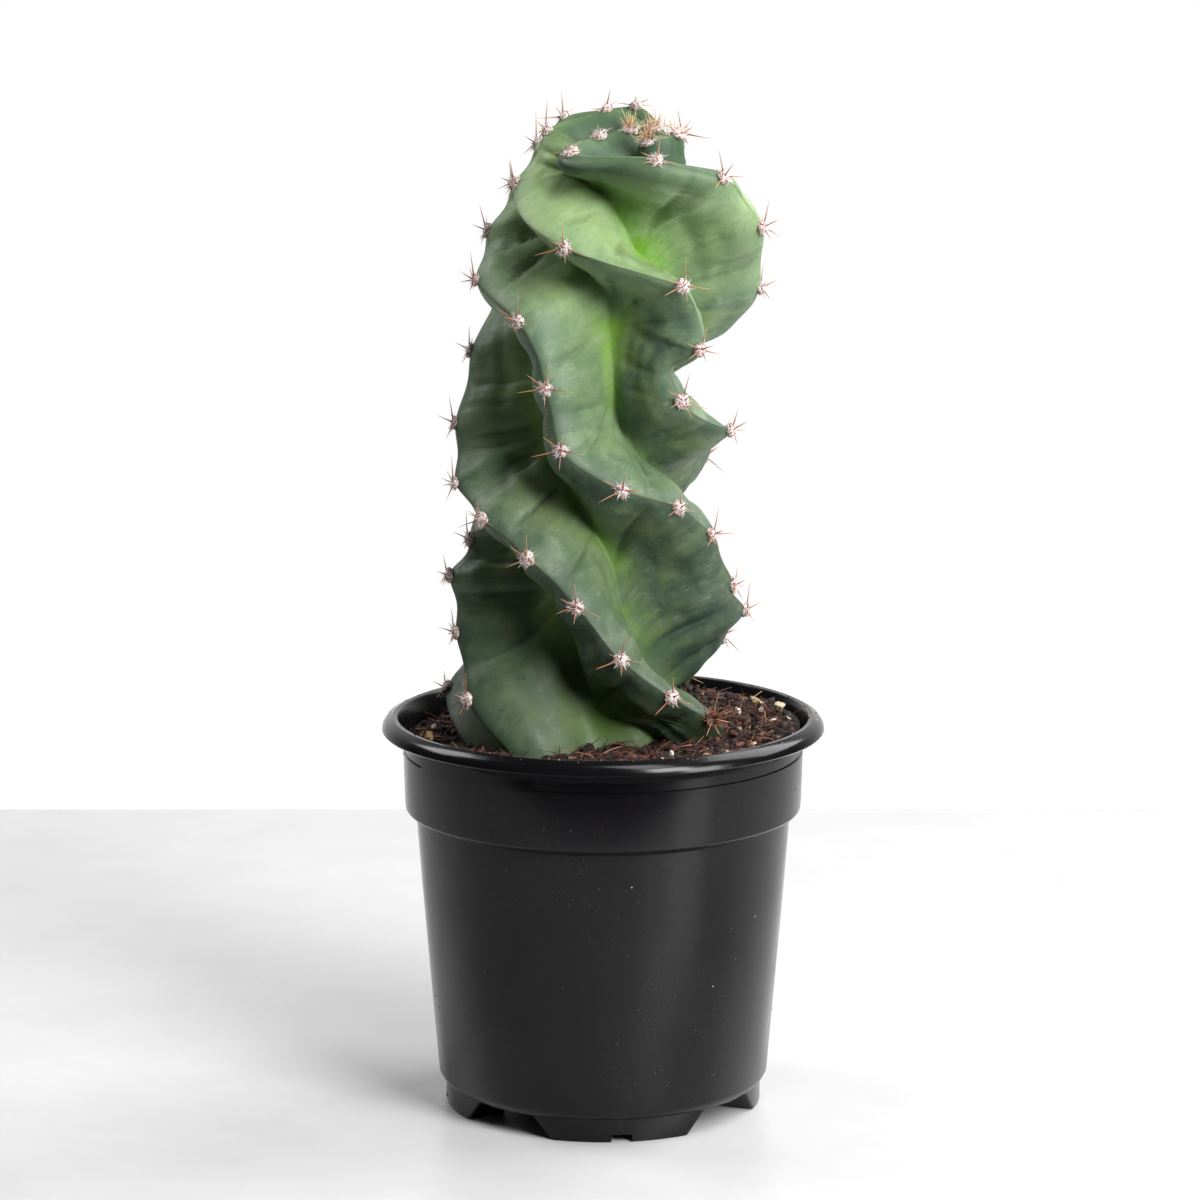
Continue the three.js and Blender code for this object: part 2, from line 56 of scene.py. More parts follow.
# CACTUS STEM
# One grown column of green tissue with a thin waxy skin and four ribs twisted like a screw. The
# ribs stand out between deep folds, dip between the areoles and roll in over the crown. The foot
# of the stem is buried in the potting mix.
MM = 0.001
CURVES_START = 60
STEM_FOOT = 72
STEM_TIP = 318
SOIL_WAY = 110
SHOULDER = 262
FULL_REACH = 40
RIB_HALF_THICKNESS = 4.9
EDGE_SHARE = (0.12, 0.75)
EDGE_POWER = (0.6, 3.4)
EDGE_FULLNESS = 0.86
FOLD_SHARPNESS = 0.22
EDGE_DIP = 1.3
FLANK_WAVE = 0.9
LEAN_SPAN = 6
RUN_STEP = 0.5
RUN_WINDOW = 60
RIB_SHARE = 0.95
FOLD_SHARE = 0.7
COLUMNS_PER_FLANK = 28
COLUMN_CROWDING = 1.3
SIDE_FADE = 6
FOOT_TOP, RIBS_START = 104, 104.7
ROW_STEP, CROWN_ROW_STEP = 0.78, 0.5
RELIEF_END = 0.93
CREASE_DEPTH = 1.1
CREASE_WIDTH = 0.055
RIPPLE_DEPTH = 0.3
BILLOW_DEPTH = 1.1
PLEAT_DEPTH = 0.9
LUMP_DEPTH = 0.7

# Way up the stem in millimetres against sideways bend, height, sink of the folds and usual reaches.
BEND = [
    (60, 0, 0), (110, -1, 0), (150, -2, 0), (200, -2, 0), (225, 0, 0),
    (245, 3, -0.5), (262, 6.5, -2), (280, 10, -4.5), (298, 12.5, -7.5), (318, 14, -11),
]
HEIGHT = [
    (60, 60), (160, 160), (262, 262), (272, 272), (282, 281), (290, 287), (298, 291),
    (305, 290), (311, 286), (318, 280),
]
SINK = [(60, 0), (262, 0), (280, 3), (289, 8), (296, 14), (303, 14), (310, 7), (318, 0)]
RIB_REACH = [
    (60, 24), (90, 34), (105, 39), (120, 40), (262, 40), (275, 38), (286, 33), (296, 24),
    (304, 15), (311, 8), (318, 0),
]
FOLD_REACH = [
    (60, 17), (90, 18), (262, 18), (278, 18), (290, 13), (300, 8), (309, 4), (318, 0),
]
# Ribs from the crown down: way, bearing from the front in degrees, reach. Each row is an areole,
# except those that end in SHAPE. A fourth number is how far the edge hangs below the crown's slope.
SHAPE = "shape"
RIBS = [
    [(318, -430, 0, SHAPE), (310, -370, 5), (300, -290, 9, 2), (289, -227, 15), (281, -197, 24),
     (270, -185, 35), (255, -160, 39), (238, -132, 39), (219, -104, 39), (202, -91, 41),
     (187, -76, 42), (179, -53, 41), (169.5, -28.5, 41), (156.5, -8, 41), (141, 9.5, 41),
     (128.5, 31, 41), (119.5, 52, 41), (108, 80, 36, SHAPE), (60, 120, 24, SHAPE)],
    [(318, -340, 0, SHAPE), (307, -255, 7, 4), (301, -213, 12, 6, SHAPE), (296, -172, 18),
     (286, -130, 29), (276, -118, 32), (264, -108, 34.5), (251, -95, 37.5), (240, -75, 40),
     (234, -38, 41), (217, -22, 41), (201, -14, 41), (190, 10, 41), (184, 35, 41),
     (174.5, 54, 41), (157, 76, 41), (147.5, 90, 43.5), (136, 112, 40), (122, 138, 37),
     (108, 160, 33, SHAPE), (60, 200, 24, SHAPE)],
    [(318, -260, 0, SHAPE), (305, -190, 8, 3), (295, -136, 16), (286, -93, 27),
     (277, -86, 30, SHAPE), (267.5, -80, 33), (259, -24, 41), (255, 25, 41), (233, 42, 39.5),
     (225, 35, 34.5, SHAPE), (216.5, 37, 38.5), (205.5, 66, 42), (202, 84, 39, SHAPE),
     (197, 103, 37, SHAPE), (190, 122, 37.5), (176, 150, 38), (163, 173, 39), (150, 198, 41),
     (137, 228, 42), (124.5, 262, 45), (108, 296, 40, SHAPE), (60, 345, 24, SHAPE)],
    [(318, -180, 0, SHAPE), (310, -130, 7), (302, -92, 14, 5), (297, -48, 29, 6), (293, 5, 33),
     (288.5, 37, 37), (280, 54, 38, SHAPE), (271.5, 68, 39.5), (262, 84, 40.5, SHAPE),
     (250, 96, 41.5), (243, 104, 43, SHAPE), (237, 115, 42.5, SHAPE), (232, 130, 39.5),
     (214, 163, 39), (198, 197, 39), (183, 235, 38), (169, 270, 37), (158.5, 273, 43),
     (143, 279, 41.5), (126, 296, 42), (112, 320, 40, SHAPE), (60, 360, 24, SHAPE)],
]
# Folds between one rib and the next: way, bearing, reach of the fold's floor.
FOLDS = [
    [(318, -385, 0), (308, -310, 3), (298, -235, 7), (288, -180, 12), (278, -160, 17),
     (262, -140, 18), (245, -110, 18), (232, -85, 18), (217, -65, 18), (201, -52, 18),
     (193, -40, 18), (189, -30, 18), (185, -20, 18), (177.5, -8, 18), (170.5, 5, 18),
     (162, 16, 18), (152, 22, 18), (143, 30, 18), (134, 38, 18), (129.5, 52, 18), (120, 85, 20),
     (108, 115, 22), (60, 160, 17)],
    [(318, -300, 0), (306, -222, 3), (295, -153, 9), (286, -112, 20), (277, -102, 24),
     (267, -95, 25), (259, -75, 22), (254, -45, 19), (250, -21, 18), (246.5, -13, 18),
     (243, -3, 18), (238, -1, 18), (234, 2, 18), (224.5, 8, 18), (209, 18, 18), (203, 25, 18),
     (193, 45, 18), (188, 75, 18), (180, 95, 18), (160, 125, 18), (141, 160, 18),
     (124, 200, 19), (108, 225, 22), (60, 270, 17)],
    [(318, -220, 0), (308, -160, 3), (300, -114, 7), (294, -82, 12), (288, -70, 18),
     (281, -62, 23), (276, -46, 19), (273, -25, 18), (269, -17, 18), (264.5, -5, 18),
     (258, 10, 18), (254, 35, 18), (246, 62, 18), (238, 76, 17), (231, 92, 16), (225, 96, 16),
     (219, 86, 16), (213, 70, 16), (208, 76, 17), (203, 95, 18), (198, 115, 18), (190, 150, 18),
     (175, 190, 18), (158, 225, 18), (141, 250, 18), (125, 280, 20), (108, 310, 24), (60, 350, 17)],
    [(318, -120, 0), (308, -70, 3), (300, -10, 7), (293, 60, 11), (285, 105, 14), (275, 128, 17),
     (262, 140, 18), (245, 155, 18), (228, 190, 18), (212, 215, 18), (195, 245, 18),
     (180, 268, 18), (168, 285, 18), (161, 300, 18), (157, 322, 18), (148, 335, 18),
     (141, 341, 18), (130, 350, 18), (121, 360, 19), (117, 390, 22), (108, 412, 24),
     (60, 450, 17)],
]


def through(points, column):
    """A smooth curve through given points that never overshoots them."""
    rows = sorted(points, key=lambda row: row[0])
    x = np.array([row[0] for row in rows], float)
    y = np.array([row[column] for row in rows], float)
    slope = np.diff(y) / np.diff(x)
    before, after = slope[:-1], slope[1:]
    total = np.where(before * after > 0, before + after, 1)
    inner = np.where(before * after > 0, 2 * before * after / total, 0)
    tangent = np.concatenate([slope[:1], inner, slope[-1:]])

    def at(way):
        t = np.clip(way, x[0], x[-1])
        i = np.clip(np.searchsorted(x, t) - 1, 0, len(x) - 2)
        h = x[i + 1] - x[i]
        s = (t - x[i]) / h
        rise = s * s * (3 - 2 * s)
        bow = h * s * (1 - s) * ((1 - s) * tangent[i] - s * tangent[i + 1])
        return y[i] * (1 - rise) + y[i + 1] * rise + bow

    return at


bend_x, bend_y = through(BEND, 1), through(BEND, 2)
height_at, sink_at = through(HEIGHT, 1), through(SINK, 1)
rib_reach, fold_reach = through(RIB_REACH, 1), through(FOLD_REACH, 1)


def lean(bend, way):
    """How fast the stem bends sideways at this way."""
    return (bend(min(way + LEAN_SPAN, STEM_TIP)) - bend(way - LEAN_SPAN)) / (2 * LEAN_SPAN)


def skin_run(points, usual):
    """A run along the skin, with a count that passes a whole number at each areole."""
    drops = [(row[0], row[3] if len(row) > 3 and row[3] != SHAPE else 0) for row in points]
    areoles = [row[0] for row in points if row[-1] != SHAPE]
    way = np.arange(CURVES_START, STEM_TIP, RUN_STEP)
    run = {"bearing": through(points, 1), "reach": through(points, 2)}
    run.update(drop=through(drops, 1), areoles=areoles, way=way)
    run["turned"] = run["bearing"](way)
    run["share"] = run["reach"](way) / np.maximum(usual(way), 0.5)
    run["hang"] = run["drop"](way)
    run["count"] = np.interp(way, areoles[::-1], range(len(areoles) - 1, -1, -1))
    return run


rib_runs = [skin_run(points, rib_reach) for points in RIBS]
fold_runs = [skin_run(points, fold_reach) for points in FOLDS]


def nearest_on(run, way, bearing, radius):
    """Distance across the skin from spots to a run, and the run's values where it is nearest."""
    near = np.abs(run["way"][:-1] - way) <= RUN_WINDOW
    ax = np.radians(run["turned"][:-1][near] - bearing[:, None]) * radius
    ay = run["way"][:-1][near] - way
    dx = np.radians(np.diff(run["turned"])[near]) * radius
    dy = np.diff(run["way"])[near]
    part = np.clip(-(ax * dx + ay * dy) / (dx * dx + dy * dy), 0, 1)
    distance = np.hypot(ax + dx * part, ay + dy * part)
    best = distance.argmin(axis=1)
    rows = np.arange(len(bearing))

    def between(name):
        values, steps = run[name][:-1][near], np.diff(run[name])[near]
        return values[best] + steps[best] * part[rows, best]

    return distance[rows, best], between


def rib_shape(from_rib, from_fold):
    """Share of the full rib height: rounded and plump at the rib edge, creased in the fold."""
    across = np.maximum(from_rib + from_fold, 0.1)
    s = from_rib / across
    near = np.clip(RIB_HALF_THICKNESS / across, *EDGE_SHARE)
    power = np.clip(math.log(EDGE_FULLNESS) / np.log(np.cos(np.pi * near / 2)), *EDGE_POWER)
    rounded = np.maximum(np.cos(np.pi * s / 2), 0) ** power
    return (1 - FOLD_SHARPNESS) * rounded + FOLD_SHARPNESS * (1 - s)


def spot(way, bearing, reach, sink=0):
    """A place given by way, bearing and reach, on the bent and leaning stem, in millimetres."""
    x = reach * np.sin(np.radians(bearing))
    y = -reach * np.cos(np.radians(bearing))
    z = height_at(way) - sink - lean(bend_x, way) * x - lean(bend_y, way) * y
    return np.stack([x + bend_x(way), y + bend_y(way), z], axis=-1)


def skin_row(way):
    """One closed row of skin spots with their rib share, areole count and side of the rib."""
    spots = []
    steps = np.arange(COLUMNS_PER_FLANK) / COLUMNS_PER_FLANK
    for flank in range(8):
        fold_index, to_next_rib = divmod(flank, 2)
        rib_index = (fold_index + to_next_rib) % 4
        part = (1 - steps if to_next_rib else steps) ** COLUMN_CROWDING
        rib, fold = rib_runs[rib_index], fold_runs[fold_index]
        turn = 360 if flank == 7 else 0
        bearing = (rib["bearing"](way) + turn) * (1 - part) + fold["bearing"](way) * part
        round_reach = max(rib_reach(way), 3)
        to_rib, rib_value = nearest_on(rib, way, bearing - turn, round_reach * RIB_SHARE)
        to_fold, fold_value = nearest_on(fold, way, bearing, round_reach * FOLD_SHARE)
        f = rib_shape(to_rib, to_fold)
        count = rib_value("count")
        size = rib_reach(way) / FULL_REACH
        between = np.sin(np.pi * count) ** 2 * size
        dip = between * (EDGE_DIP * f ** 3 + FLANK_WAVE * 4 * f * (1 - f))
        inner = fold_reach(way) * fold_value("share")
        reach = inner + (rib_reach(way) * rib_value("share") - inner) * f - dip
        place = spot(way, bearing, reach, sink_at(way) * (1 - f) + rib_value("hang") * f)
        side = np.clip(part * SIDE_FADE, 0, 1) * np.clip((1 - part) * SIDE_FADE, 0, 1)
        side *= -1 if to_next_rib else 1
        rib_number = np.full(len(part), float(rib_index))
        spots.append(np.column_stack([place, f, count, side, rib_number]))
    return np.concatenate(spots)


def closed_from_grid(rows, layers=()):
    """A closed skin from equal rows whose ends meet; columns after the place are point values."""
    across, up = len(rows[0]), len(rows) - 1
    bm = bmesh.new()
    bmesh.ops.create_grid(bm, x_segments=across, y_segments=up, size=1)
    values = [bm.verts.layers.float.new(name) for name in layers]
    for vert in bm.verts:
        column = round((vert.co.x + 1) / 2 * across) % across
        row = rows[round((vert.co.y + 1) / 2 * up)][column]
        vert.co = Vector(row[:3]) * MM
        for layer, value in zip(values, row[3:]):
            vert[layer] = value
    bmesh.ops.remove_doubles(bm, verts=bm.verts, dist=1e-6)
    bmesh.ops.recalc_face_normals(bm, faces=bm.faces)
    return bm


def finished_mesh(bm, name):
    """The mesh made of this work, which ends here."""
    mesh = bpy.data.meshes.new(name)
    bm.to_mesh(mesh)
    bm.free()
    return mesh


def in_scene(name, data):
    """An object at the origin that shows a mesh, a lamp or a camera."""
    made = bpy.data.objects.new(name, data)
    bpy.context.scene.collection.objects.link(made)
    return made


def add_piece(bm, name, material):
    """Makes a smooth-shaded object of finished mesh work."""
    for face in bm.faces:
        face.smooth = True
    piece = in_scene(name, finished_mesh(bm, name))
    piece.data.materials.append(material)
    return piece


def node(tree, kind, inputs=None, **settings):
    """Adds a shader node; inputs are plain values or sockets to join."""
    made = tree.nodes.new(kind)
    for key, value in settings.items():
        setattr(made, key, value)
    for key, value in (inputs or {}).items():
        if isinstance(value, bpy.types.NodeSocket):
            tree.links.new(value, made.inputs[key])
        else:
            made.inputs[key].default_value = value
    return made


def grain(tree, scale, detail=4, rough=0.6, stretch=(1, 1, 1), coords=None):
    """Noise from 0 to 1 over the object's own coordinates in metres."""
    coords = coords or node(tree, "ShaderNodeTexCoord").outputs["Object"]
    mapped = node(tree, "ShaderNodeMapping", {"Vector": coords, "Scale": stretch}).outputs[0]
    inputs = {"Vector": mapped, "Scale": scale, "Detail": detail, "Roughness": rough}
    return node(tree, "ShaderNodeTexNoise", inputs).outputs[0]


def ramp(tree, value, stops):
    """Turns a value into a colour by stops of (place, colour)."""
    made = node(tree, "ShaderNodeValToRGB", {"Fac": value})
    elements = made.color_ramp.elements
    for place, colour in stops[2:]:
        elements.new(place)
    for element, (place, colour) in zip(elements, stops):
        element.position = place
        element.color = (*colour, 1)
    return made.outputs["Color"]


def span(tree, value, low, high, to_low=0.0, to_high=1.0):
    """Stretches a value from one range to another, cut off at the ends."""
    inputs = {0: value, 1: low, 2: high, 3: to_low, 4: to_high}
    return node(tree, "ShaderNodeMapRange", inputs).outputs[0]


def blend_colour(tree, share, first, second, mode="MIX"):
    """Mixes two colours by a share from 0 to 1."""
    first, second = [(*tone, 1) if isinstance(tone, tuple) else tone for tone in (first, second)]
    inputs = {0: share, 6: first, 7: second}
    return node(tree, "ShaderNodeMix", inputs, data_type="RGBA", blend_type=mode).outputs[2]


def combine(tree, operation, first, second):
    """Joins two numbers by a maths operation."""
    return node(tree, "ShaderNodeMath", {0: first, 1: second}, operation=operation).outputs[0]


def both(tree, first, second):
    """Two values, each stretched by span, multiplied with each other."""
    return combine(tree, "MULTIPLY", span(tree, *first), span(tree, *second))


def attribute(tree, name):
    """A point value of the mesh as a number."""
    return node(tree, "ShaderNodeAttribute", attribute_name=name).outputs["Fac"]


def new_material(name, **sockets):
    """A material and its tree; sockets are constants on the main shader."""
    material = bpy.data.materials.new(name)
    material.use_nodes = True
    tree = material.node_tree
    shader = tree.nodes["Principled BSDF"]
    for key, value in sockets.items():
        shader.inputs[key.replace("_", " ")].default_value = value
    return material, tree, shader


def finish_material(material, tree, shader, colour, bumps):
    """Joins a colour and stacked bumps of (height, strength, distance) to the shader."""
    tree.links.new(colour, shader.inputs["Base Color"])
    normal = None
    for height, strength, distance in bumps:
        inputs = {"Height": height, "Strength": strength, "Distance": distance}
        if normal:
            inputs["Normal"] = normal
        normal = node(tree, "ShaderNodeBump", inputs).outputs[0]
    tree.links.new(normal, shader.inputs["Normal"])
    return material


def stem_ways():
    """Ways of the rows of skin: few below the soil, close over the ribs, closest over the crown."""
    return np.concatenate([
        np.linspace(STEM_FOOT, FOOT_TOP, 6), np.arange(RIBS_START, SHOULDER, ROW_STEP),
        np.arange(SHOULDER, STEM_TIP, CROWN_ROW_STEP), [STEM_TIP],
    ])


def stem_material():
    """Blue-green waxy skin, yellow-green deep in the folds, darker to the foot, painted light and
    shade.
    """
    material, tree, shader = new_material("stem_skin", Subsurface_Weight=0.06, Specular_IOR_Level=0.26)
    shader.inputs["Subsurface Radius"].default_value = (0.4, 1.0, 0.25)
    shader.inputs["Subsurface Scale"].default_value = 0.003
    rib, side = attribute(tree, "rib_share"), attribute(tree, "rib_side")
    age, crease_shade = attribute(tree, "age"), attribute(tree, "crease_shade")
    flow = node(tree, "ShaderNodeUVMap", uv_map="flow").outputs[0]
    soft, cloud, fine = grain(tree, 55, 3), grain(tree, 140, 5, 0.6), grain(tree, 620, 5)
    streaks = grain(tree, 1, 2, 0.5, (9, 1.6, 1), flow)
    scratches = grain(tree, 1, 3, 0.6, (75, 6, 1), flow)
    scars = grain(tree, 210, 2, 0.5, (1, 1, 1.6))
    # One flank of each rib is paler and the other darker and bluer: painted light and painted shade,
    # partly the skin's own tone.
    flank = blend_colour(tree, span(tree, side, -1, 1), (0.135, 0.23, 0.155), (0.215, 0.345, 0.17))
    patches, pale_top = span(tree, soft, 0.44, 0.62, 0, 0.8), span(tree, age, 0.6, 0.72, 0, 0.5)
    patchy = blend_colour(tree, combine(tree, "MAXIMUM", patches, pale_top), flank, (0.34, 0.47, 0.18))
    deep = combine(tree, "POWER", span(tree, rib, 0.3, 0.02), 1.2)
    patched = both(tree, (soft, 0.38, 0.6, 0.25, 1), (age, 0.1, 0.6, 0.8, 1))
    young = combine(tree, "MULTIPLY", deep, patched)
    fresh = blend_colour(tree, span(tree, age, 0.78, 0.5), (0.115, 0.28, 0.012), (0.34, 0.66, 0.075))
    green = blend_colour(tree, young, patchy, fresh)
    bloom = both(tree, (rib, 0.5, 0.95), (soft, 0.3, 0.6, 0.35, 0.85))
    bloomed = combine(tree, "MULTIPLY", bloom, span(tree, age, 0.58, 0.75, 1, 0.4))
    colour = blend_colour(tree, bloomed, green, (0.105, 0.185, 0.13))
    # Clouds, pale and dark streaks, speckles, pits and painted shade on the floors of the creases.
    for value, low, high, most, tone in [
        (cloud, 0.45, 0.62, 0.5, (0.32, 0.45, 0.23)),
        (streaks, 0.44, 0.28, 0.2, (0.37, 0.51, 0.25)),
        (streaks, 0.5, 0.74, 0.22, (0.055, 0.105, 0.065)),
        (fine, 0.58, 0.76, 0.3, (0.36, 0.48, 0.29)),
        (fine, 0.4, 0.28, 0.4, (0.03, 0.055, 0.035)),
        (crease_shade, 0.25, 0.9, 0.5, (0.018, 0.035, 0.02)),
    ]:
        colour = blend_colour(tree, span(tree, value, low, high, 0, most), colour, tone)
    edge = both(tree, (rib, 0.988, 0.998), (cloud, 0.42, 0.6, 0.1, 0.75))
    rimmed = blend_colour(tree, edge, colour, (0.12, 0.1, 0.06))
    scarred = blend_colour(tree, span(tree, scars, 0.75, 0.77, 0.0, 0.8), rimmed, (0.4, 0.37, 0.24))
    # Darker towards the foot, lighter up the stem, a little darker at the crown's top: partly the
    # skin's age, partly painted light and painted shade.
    age_and_painted_falloff = ramp(tree, age, [
        (0.0, (0.23, 0.24, 0.21)), (0.1, (0.27, 0.27, 0.28)), (0.42, (0.48, 0.47, 0.47)),
        (0.55, (0.52, 0.52, 0.51)), (0.66, (0.72, 0.72, 0.7)), (0.8, (0.93, 0.93, 0.9)),
        (0.92, (0.66, 0.7, 0.66)),
    ])
    height_toned = blend_colour(tree, 1.0, scarred, age_and_painted_falloff, "MULTIPLY")
    handled = both(tree, (cloud, 0.48, 0.56), (age, 0.14, 0.2, 0, 0.6))
    worn = combine(tree, "MULTIPLY", span(tree, scratches, 0.6, 0.66), handled)
    scratched = blend_colour(tree, worn, height_toned, (0.26, 0.33, 0.27))
    # Painted shade darkens the folds of the sunken crown.
    crown_hollow_shade = both(tree, (age, 0.82, 0.87), (rib, 1.0, 0.8, 0.6, 0.9))
    crown_shaded = blend_colour(tree, crown_hollow_shade, scratched, (0.02, 0.05, 0.025))
    tree.links.new(span(tree, fine, 0.3, 0.7, 0.4, 0.6), shader.inputs["Roughness"])
    bumps = [(streaks, 0.12, 0.0008), (cloud, 0.3, 0.0008), (fine, 0.2, 0.0002)]
    return finish_material(material, tree, shader, crown_shaded, bumps)


def with_age(row, way):
    """A row with its age, 0 at the soil to 1 at the crown, and an empty column for painted crease
    shade.
    """
    age = np.full(len(row), (way - SOIL_WAY) / (STEM_TIP - SOIL_WAY))
    return np.column_stack([row, age, np.zeros(len(row))])


stem_rows = [with_age(skin_row(way), way) for way in stem_ways()]
foot_hub = np.array([0, 0, STEM_FOOT, 0, 0, 0, 0, 0, 0], float)
stem_rows.insert(0, np.tile(foot_hub, (len(stem_rows[0]), 1)))
STEM_VALUES = ("rib_share", "areole_count", "rib_side", "rib_number", "age", "crease_shade")
stem_bm = closed_from_grid(stem_rows, STEM_VALUES)


def crease_of(count, f, gap):
    """Depth from 0 to 1 of the two creases in a gap between areoles, and how far they wander."""
    depth = 0.35 + 0.65 * ((math.sin(gap * 12.9898) * 43758.5453) % 1)
    wander = 0.12 * math.sin(gap * 3.7) + 0.16 * (f - 0.5) * math.sin(gap * 5.3)
    middle = math.exp(-((count % 1 - 0.5 - wander) / CREASE_WIDTH) ** 2) * depth
    beside = math.exp(-((count % 1 - 0.8 - 1.6 * wander) / CREASE_WIDTH) ** 2) * (1 - depth)
    return max(middle, beside), wander


# Creases, growth ripples, swellings and gentle lumps, raised along the skin's own direction.
stem_bm.normal_update()
share_layer, count_layer, _, number_layer, age_layer, crease_shade_layer = [
    stem_bm.verts.layers.float[name] for name in STEM_VALUES
]
relief = {}
for vert in stem_bm.verts:
    f, count, number = vert[share_layer], vert[count_layer], vert[number_layer]
    flank_window = 4 * f * (1 - f) * min(max((RELIEF_END - vert[age_layer]) * 8, 0), 1)
    crease, wander = crease_of(count, f, math.floor(count) + 31 * round(number))
    # The crease depth is kept for painted shade on the floors of the creases.
    vert[crease_shade_layer] = crease * flank_window
    ripple = noise.noise(Vector((count * 7, f * 2.5, number * 5))) * RIPPLE_DEPTH
    lump = noise.noise(vert.co * 48) * LUMP_DEPTH * flank_window
    billow = (0.5 - math.sin(math.pi * (count + 0.5 * wander)) ** 2) * BILLOW_DEPTH
    pleat = noise.noise(Vector((count * 1.1, f * 5, number * 7))) * PLEAT_DEPTH
    raised = (ripple + billow + pleat - crease * CREASE_DEPTH) * flank_window + lump
    relief[vert] = vert.normal * raised * MM
for vert, offset in relief.items():
    vert.co += offset
flow_layer = stem_bm.loops.layers.uv.new("flow")
for face in stem_bm.faces:
    for loop in face.loops:
        along = loop.vert[count_layer] + 7.3 * loop.vert[number_layer]
        loop[flow_layer].uv = (along, loop.vert[share_layer])
stem = add_piece(stem_bm, "stem", stem_material())
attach(stem, "root")
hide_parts("cactus")

# AREOLE WOOL
# Short whitish wool that grows as a matted cushion at each areole on the rib edges, densest in the
# sunken crown. The wool of the lowest areole has dried brown.
PAD_RADIUS = 2.3
PAD_FLATNESS = 0.6
PAD_LIFT = 0.5
WOOL_HAIRS = 72
CROWN_HAIRS = 40
WOOL_THICKNESS = 0.08
CROWN_START = 303
DRIED_BELOW = 121


def empty_mesh(*values):
    """Mesh work to add copies to, with room for point values of these names."""
    bm = bmesh.new()
    for name in values:
        bm.verts.layers.float.new(name)
    return bm


def scatter(dice, most):
    """Three draws between minus and plus a limit, as a vector."""
    return Vector([dice.uniform(-most, most) for _ in range(3)])


def areoles_of_stem():
    """Every areole: its place, which way it looks, and which way is sideways and down from it."""
    found = []
    for run in rib_runs:
        for way in run["areoles"]:
            bearing = math.radians(run["bearing"](way))
            rising = (height_at(way + 1) - height_at(way - 1)) / 2
            upright = min(max(rising, 0), 1)
            look = Vector((math.sin(bearing), -math.cos(bearing), 0)) * (0.3 + 0.7 * upright)
            look.z = 1.02 - 0.9 * upright
            look.normalize()
            place = Vector(spot(way, run["bearing"](way), run["reach"](way), run["drop"](way)))
            across = Vector((math.cos(bearing), math.sin(bearing), 0))
            down = -across.cross(look)
            found.append({"way": way, "place": place, "look": look, "across": across, "down": down})
    return found


def tapered_hair(name, sides, rings, root, tip):
    """A mesh to copy: one unit long, up Z, with a value from 0 at the root to 1 at the tip."""
    bm = bmesh.new()
    bmesh.ops.create_cone(
        bm, cap_ends=True, segments=sides, radius1=root, radius2=tip, depth=1,
        matrix=Matrix.Translation((0, 0, 0.5)),
    )
    lengthwise = [edge for edge in bm.edges if abs(edge.verts[0].co.z - edge.verts[1].co.z) > 0.5]
    if rings > 1:
        bmesh.ops.subdivide_edges(bm, edges=lengthwise, cuts=rings - 1)
    along = bm.verts.layers.float.new("along")
    for vert in bm.verts:
        vert[along] = vert.co.z
    return finished_mesh(bm, name)


def add_copy(bm, mesh, place, direction, length, thick, bend=(0, 0, 0), tint=None):
    """Copies a hair mesh to a place in metres: scaled, pointed and bent towards its tip."""
    start = len(bm.verts)
    bm.from_mesh(mesh)
    bm.verts.ensure_lookup_table()
    turn = Vector(direction).to_track_quat("Z", "Y").to_matrix()
    bow = Vector(bend)
    for vert in bm.verts[start:]:
        shape = Vector((vert.co.x * thick, vert.co.y * thick, vert.co.z * length))
        vert.co = Vector(place) + turn @ shape + bow * vert.co.z ** 2
        if tint is not None:
            vert[bm.verts.layers.float["tint"]] = tint


def wool_material():
    """Off-white wool with a pinkish cast, matted brown deep between the hairs."""
    material, tree, shader = new_material("areole_wool", Roughness=0.95, Sheen_Weight=0.3)
    clumps = grain(tree, 1400, 4)
    matted = ramp(tree, clumps, [
        (0.38, (0.13, 0.055, 0.045)), (0.48, (0.45, 0.33, 0.31)), (0.6, (0.74, 0.66, 0.64)),
    ])
    along = attribute(tree, "along")
    pale = blend_colour(tree, span(tree, along, 0.05, 0.5), matted, (0.86, 0.79, 0.78))
    dried = blend_colour(tree, span(tree, along, -0.1, -1, 0, 0.85), pale, (0.09, 0.035, 0.022))
    return finish_material(material, tree, shader, dried, [(clumps, 0.7, 0.0006)])


areoles = areoles_of_stem()
wool_dice = random.Random(5)
wool_bm = empty_mesh("along")
hair_mesh = tapered_hair("wool_hair", 3, 1, 1, 0.3)
for areole in areoles:
    first_vert = len(wool_bm.verts)
    place, look, in_crown = areole["place"], areole["look"], areole["way"] > CROWN_START
    turn = look.to_track_quat("Z", "Y").to_matrix().to_4x4()
    size = PAD_RADIUS * wool_dice.uniform(0.85, 1.02)
    at = Matrix.Translation(place * MM) @ turn @ Matrix.Diagonal((1, 1, PAD_FLATNESS, 1))
    pad = bmesh.ops.create_icosphere(wool_bm, subdivisions=2, radius=size * MM, matrix=at)
    for vert in pad["verts"]:
        bumpy = noise.noise(vert.co * 900) * 0.5
        vert.co += (vert.co - place * MM) * bumpy
    for _ in range(WOOL_HAIRS + (CROWN_HAIRS if in_crown else 0)):
        turned, tipped = wool_dice.uniform(0, 2 * math.pi), math.radians(wool_dice.uniform(5, 88))
        side = areole["across"] * math.cos(turned) + areole["down"] * math.sin(turned)
        direction = look * math.cos(tipped) + side * math.sin(tipped)
        root = place + side * size * 0.75 * math.sin(tipped) + look * PAD_LIFT
        length = wool_dice.uniform(0.7, 1.7) * (1.4 if in_crown else 1)
        curl = scatter(wool_dice, 0.6) * MM
        add_copy(wool_bm, hair_mesh, root * MM, direction, length * MM, WOOL_THICKNESS * MM, curl)
    if areole["way"] < DRIED_BELOW:
        for vert in list(wool_bm.verts)[first_vert:]:
            vert[wool_bm.verts.layers.float["along"]] = -1
wool = add_piece(wool_bm, "areole_wool", wool_material())
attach(wool, "root")
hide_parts("cactus")

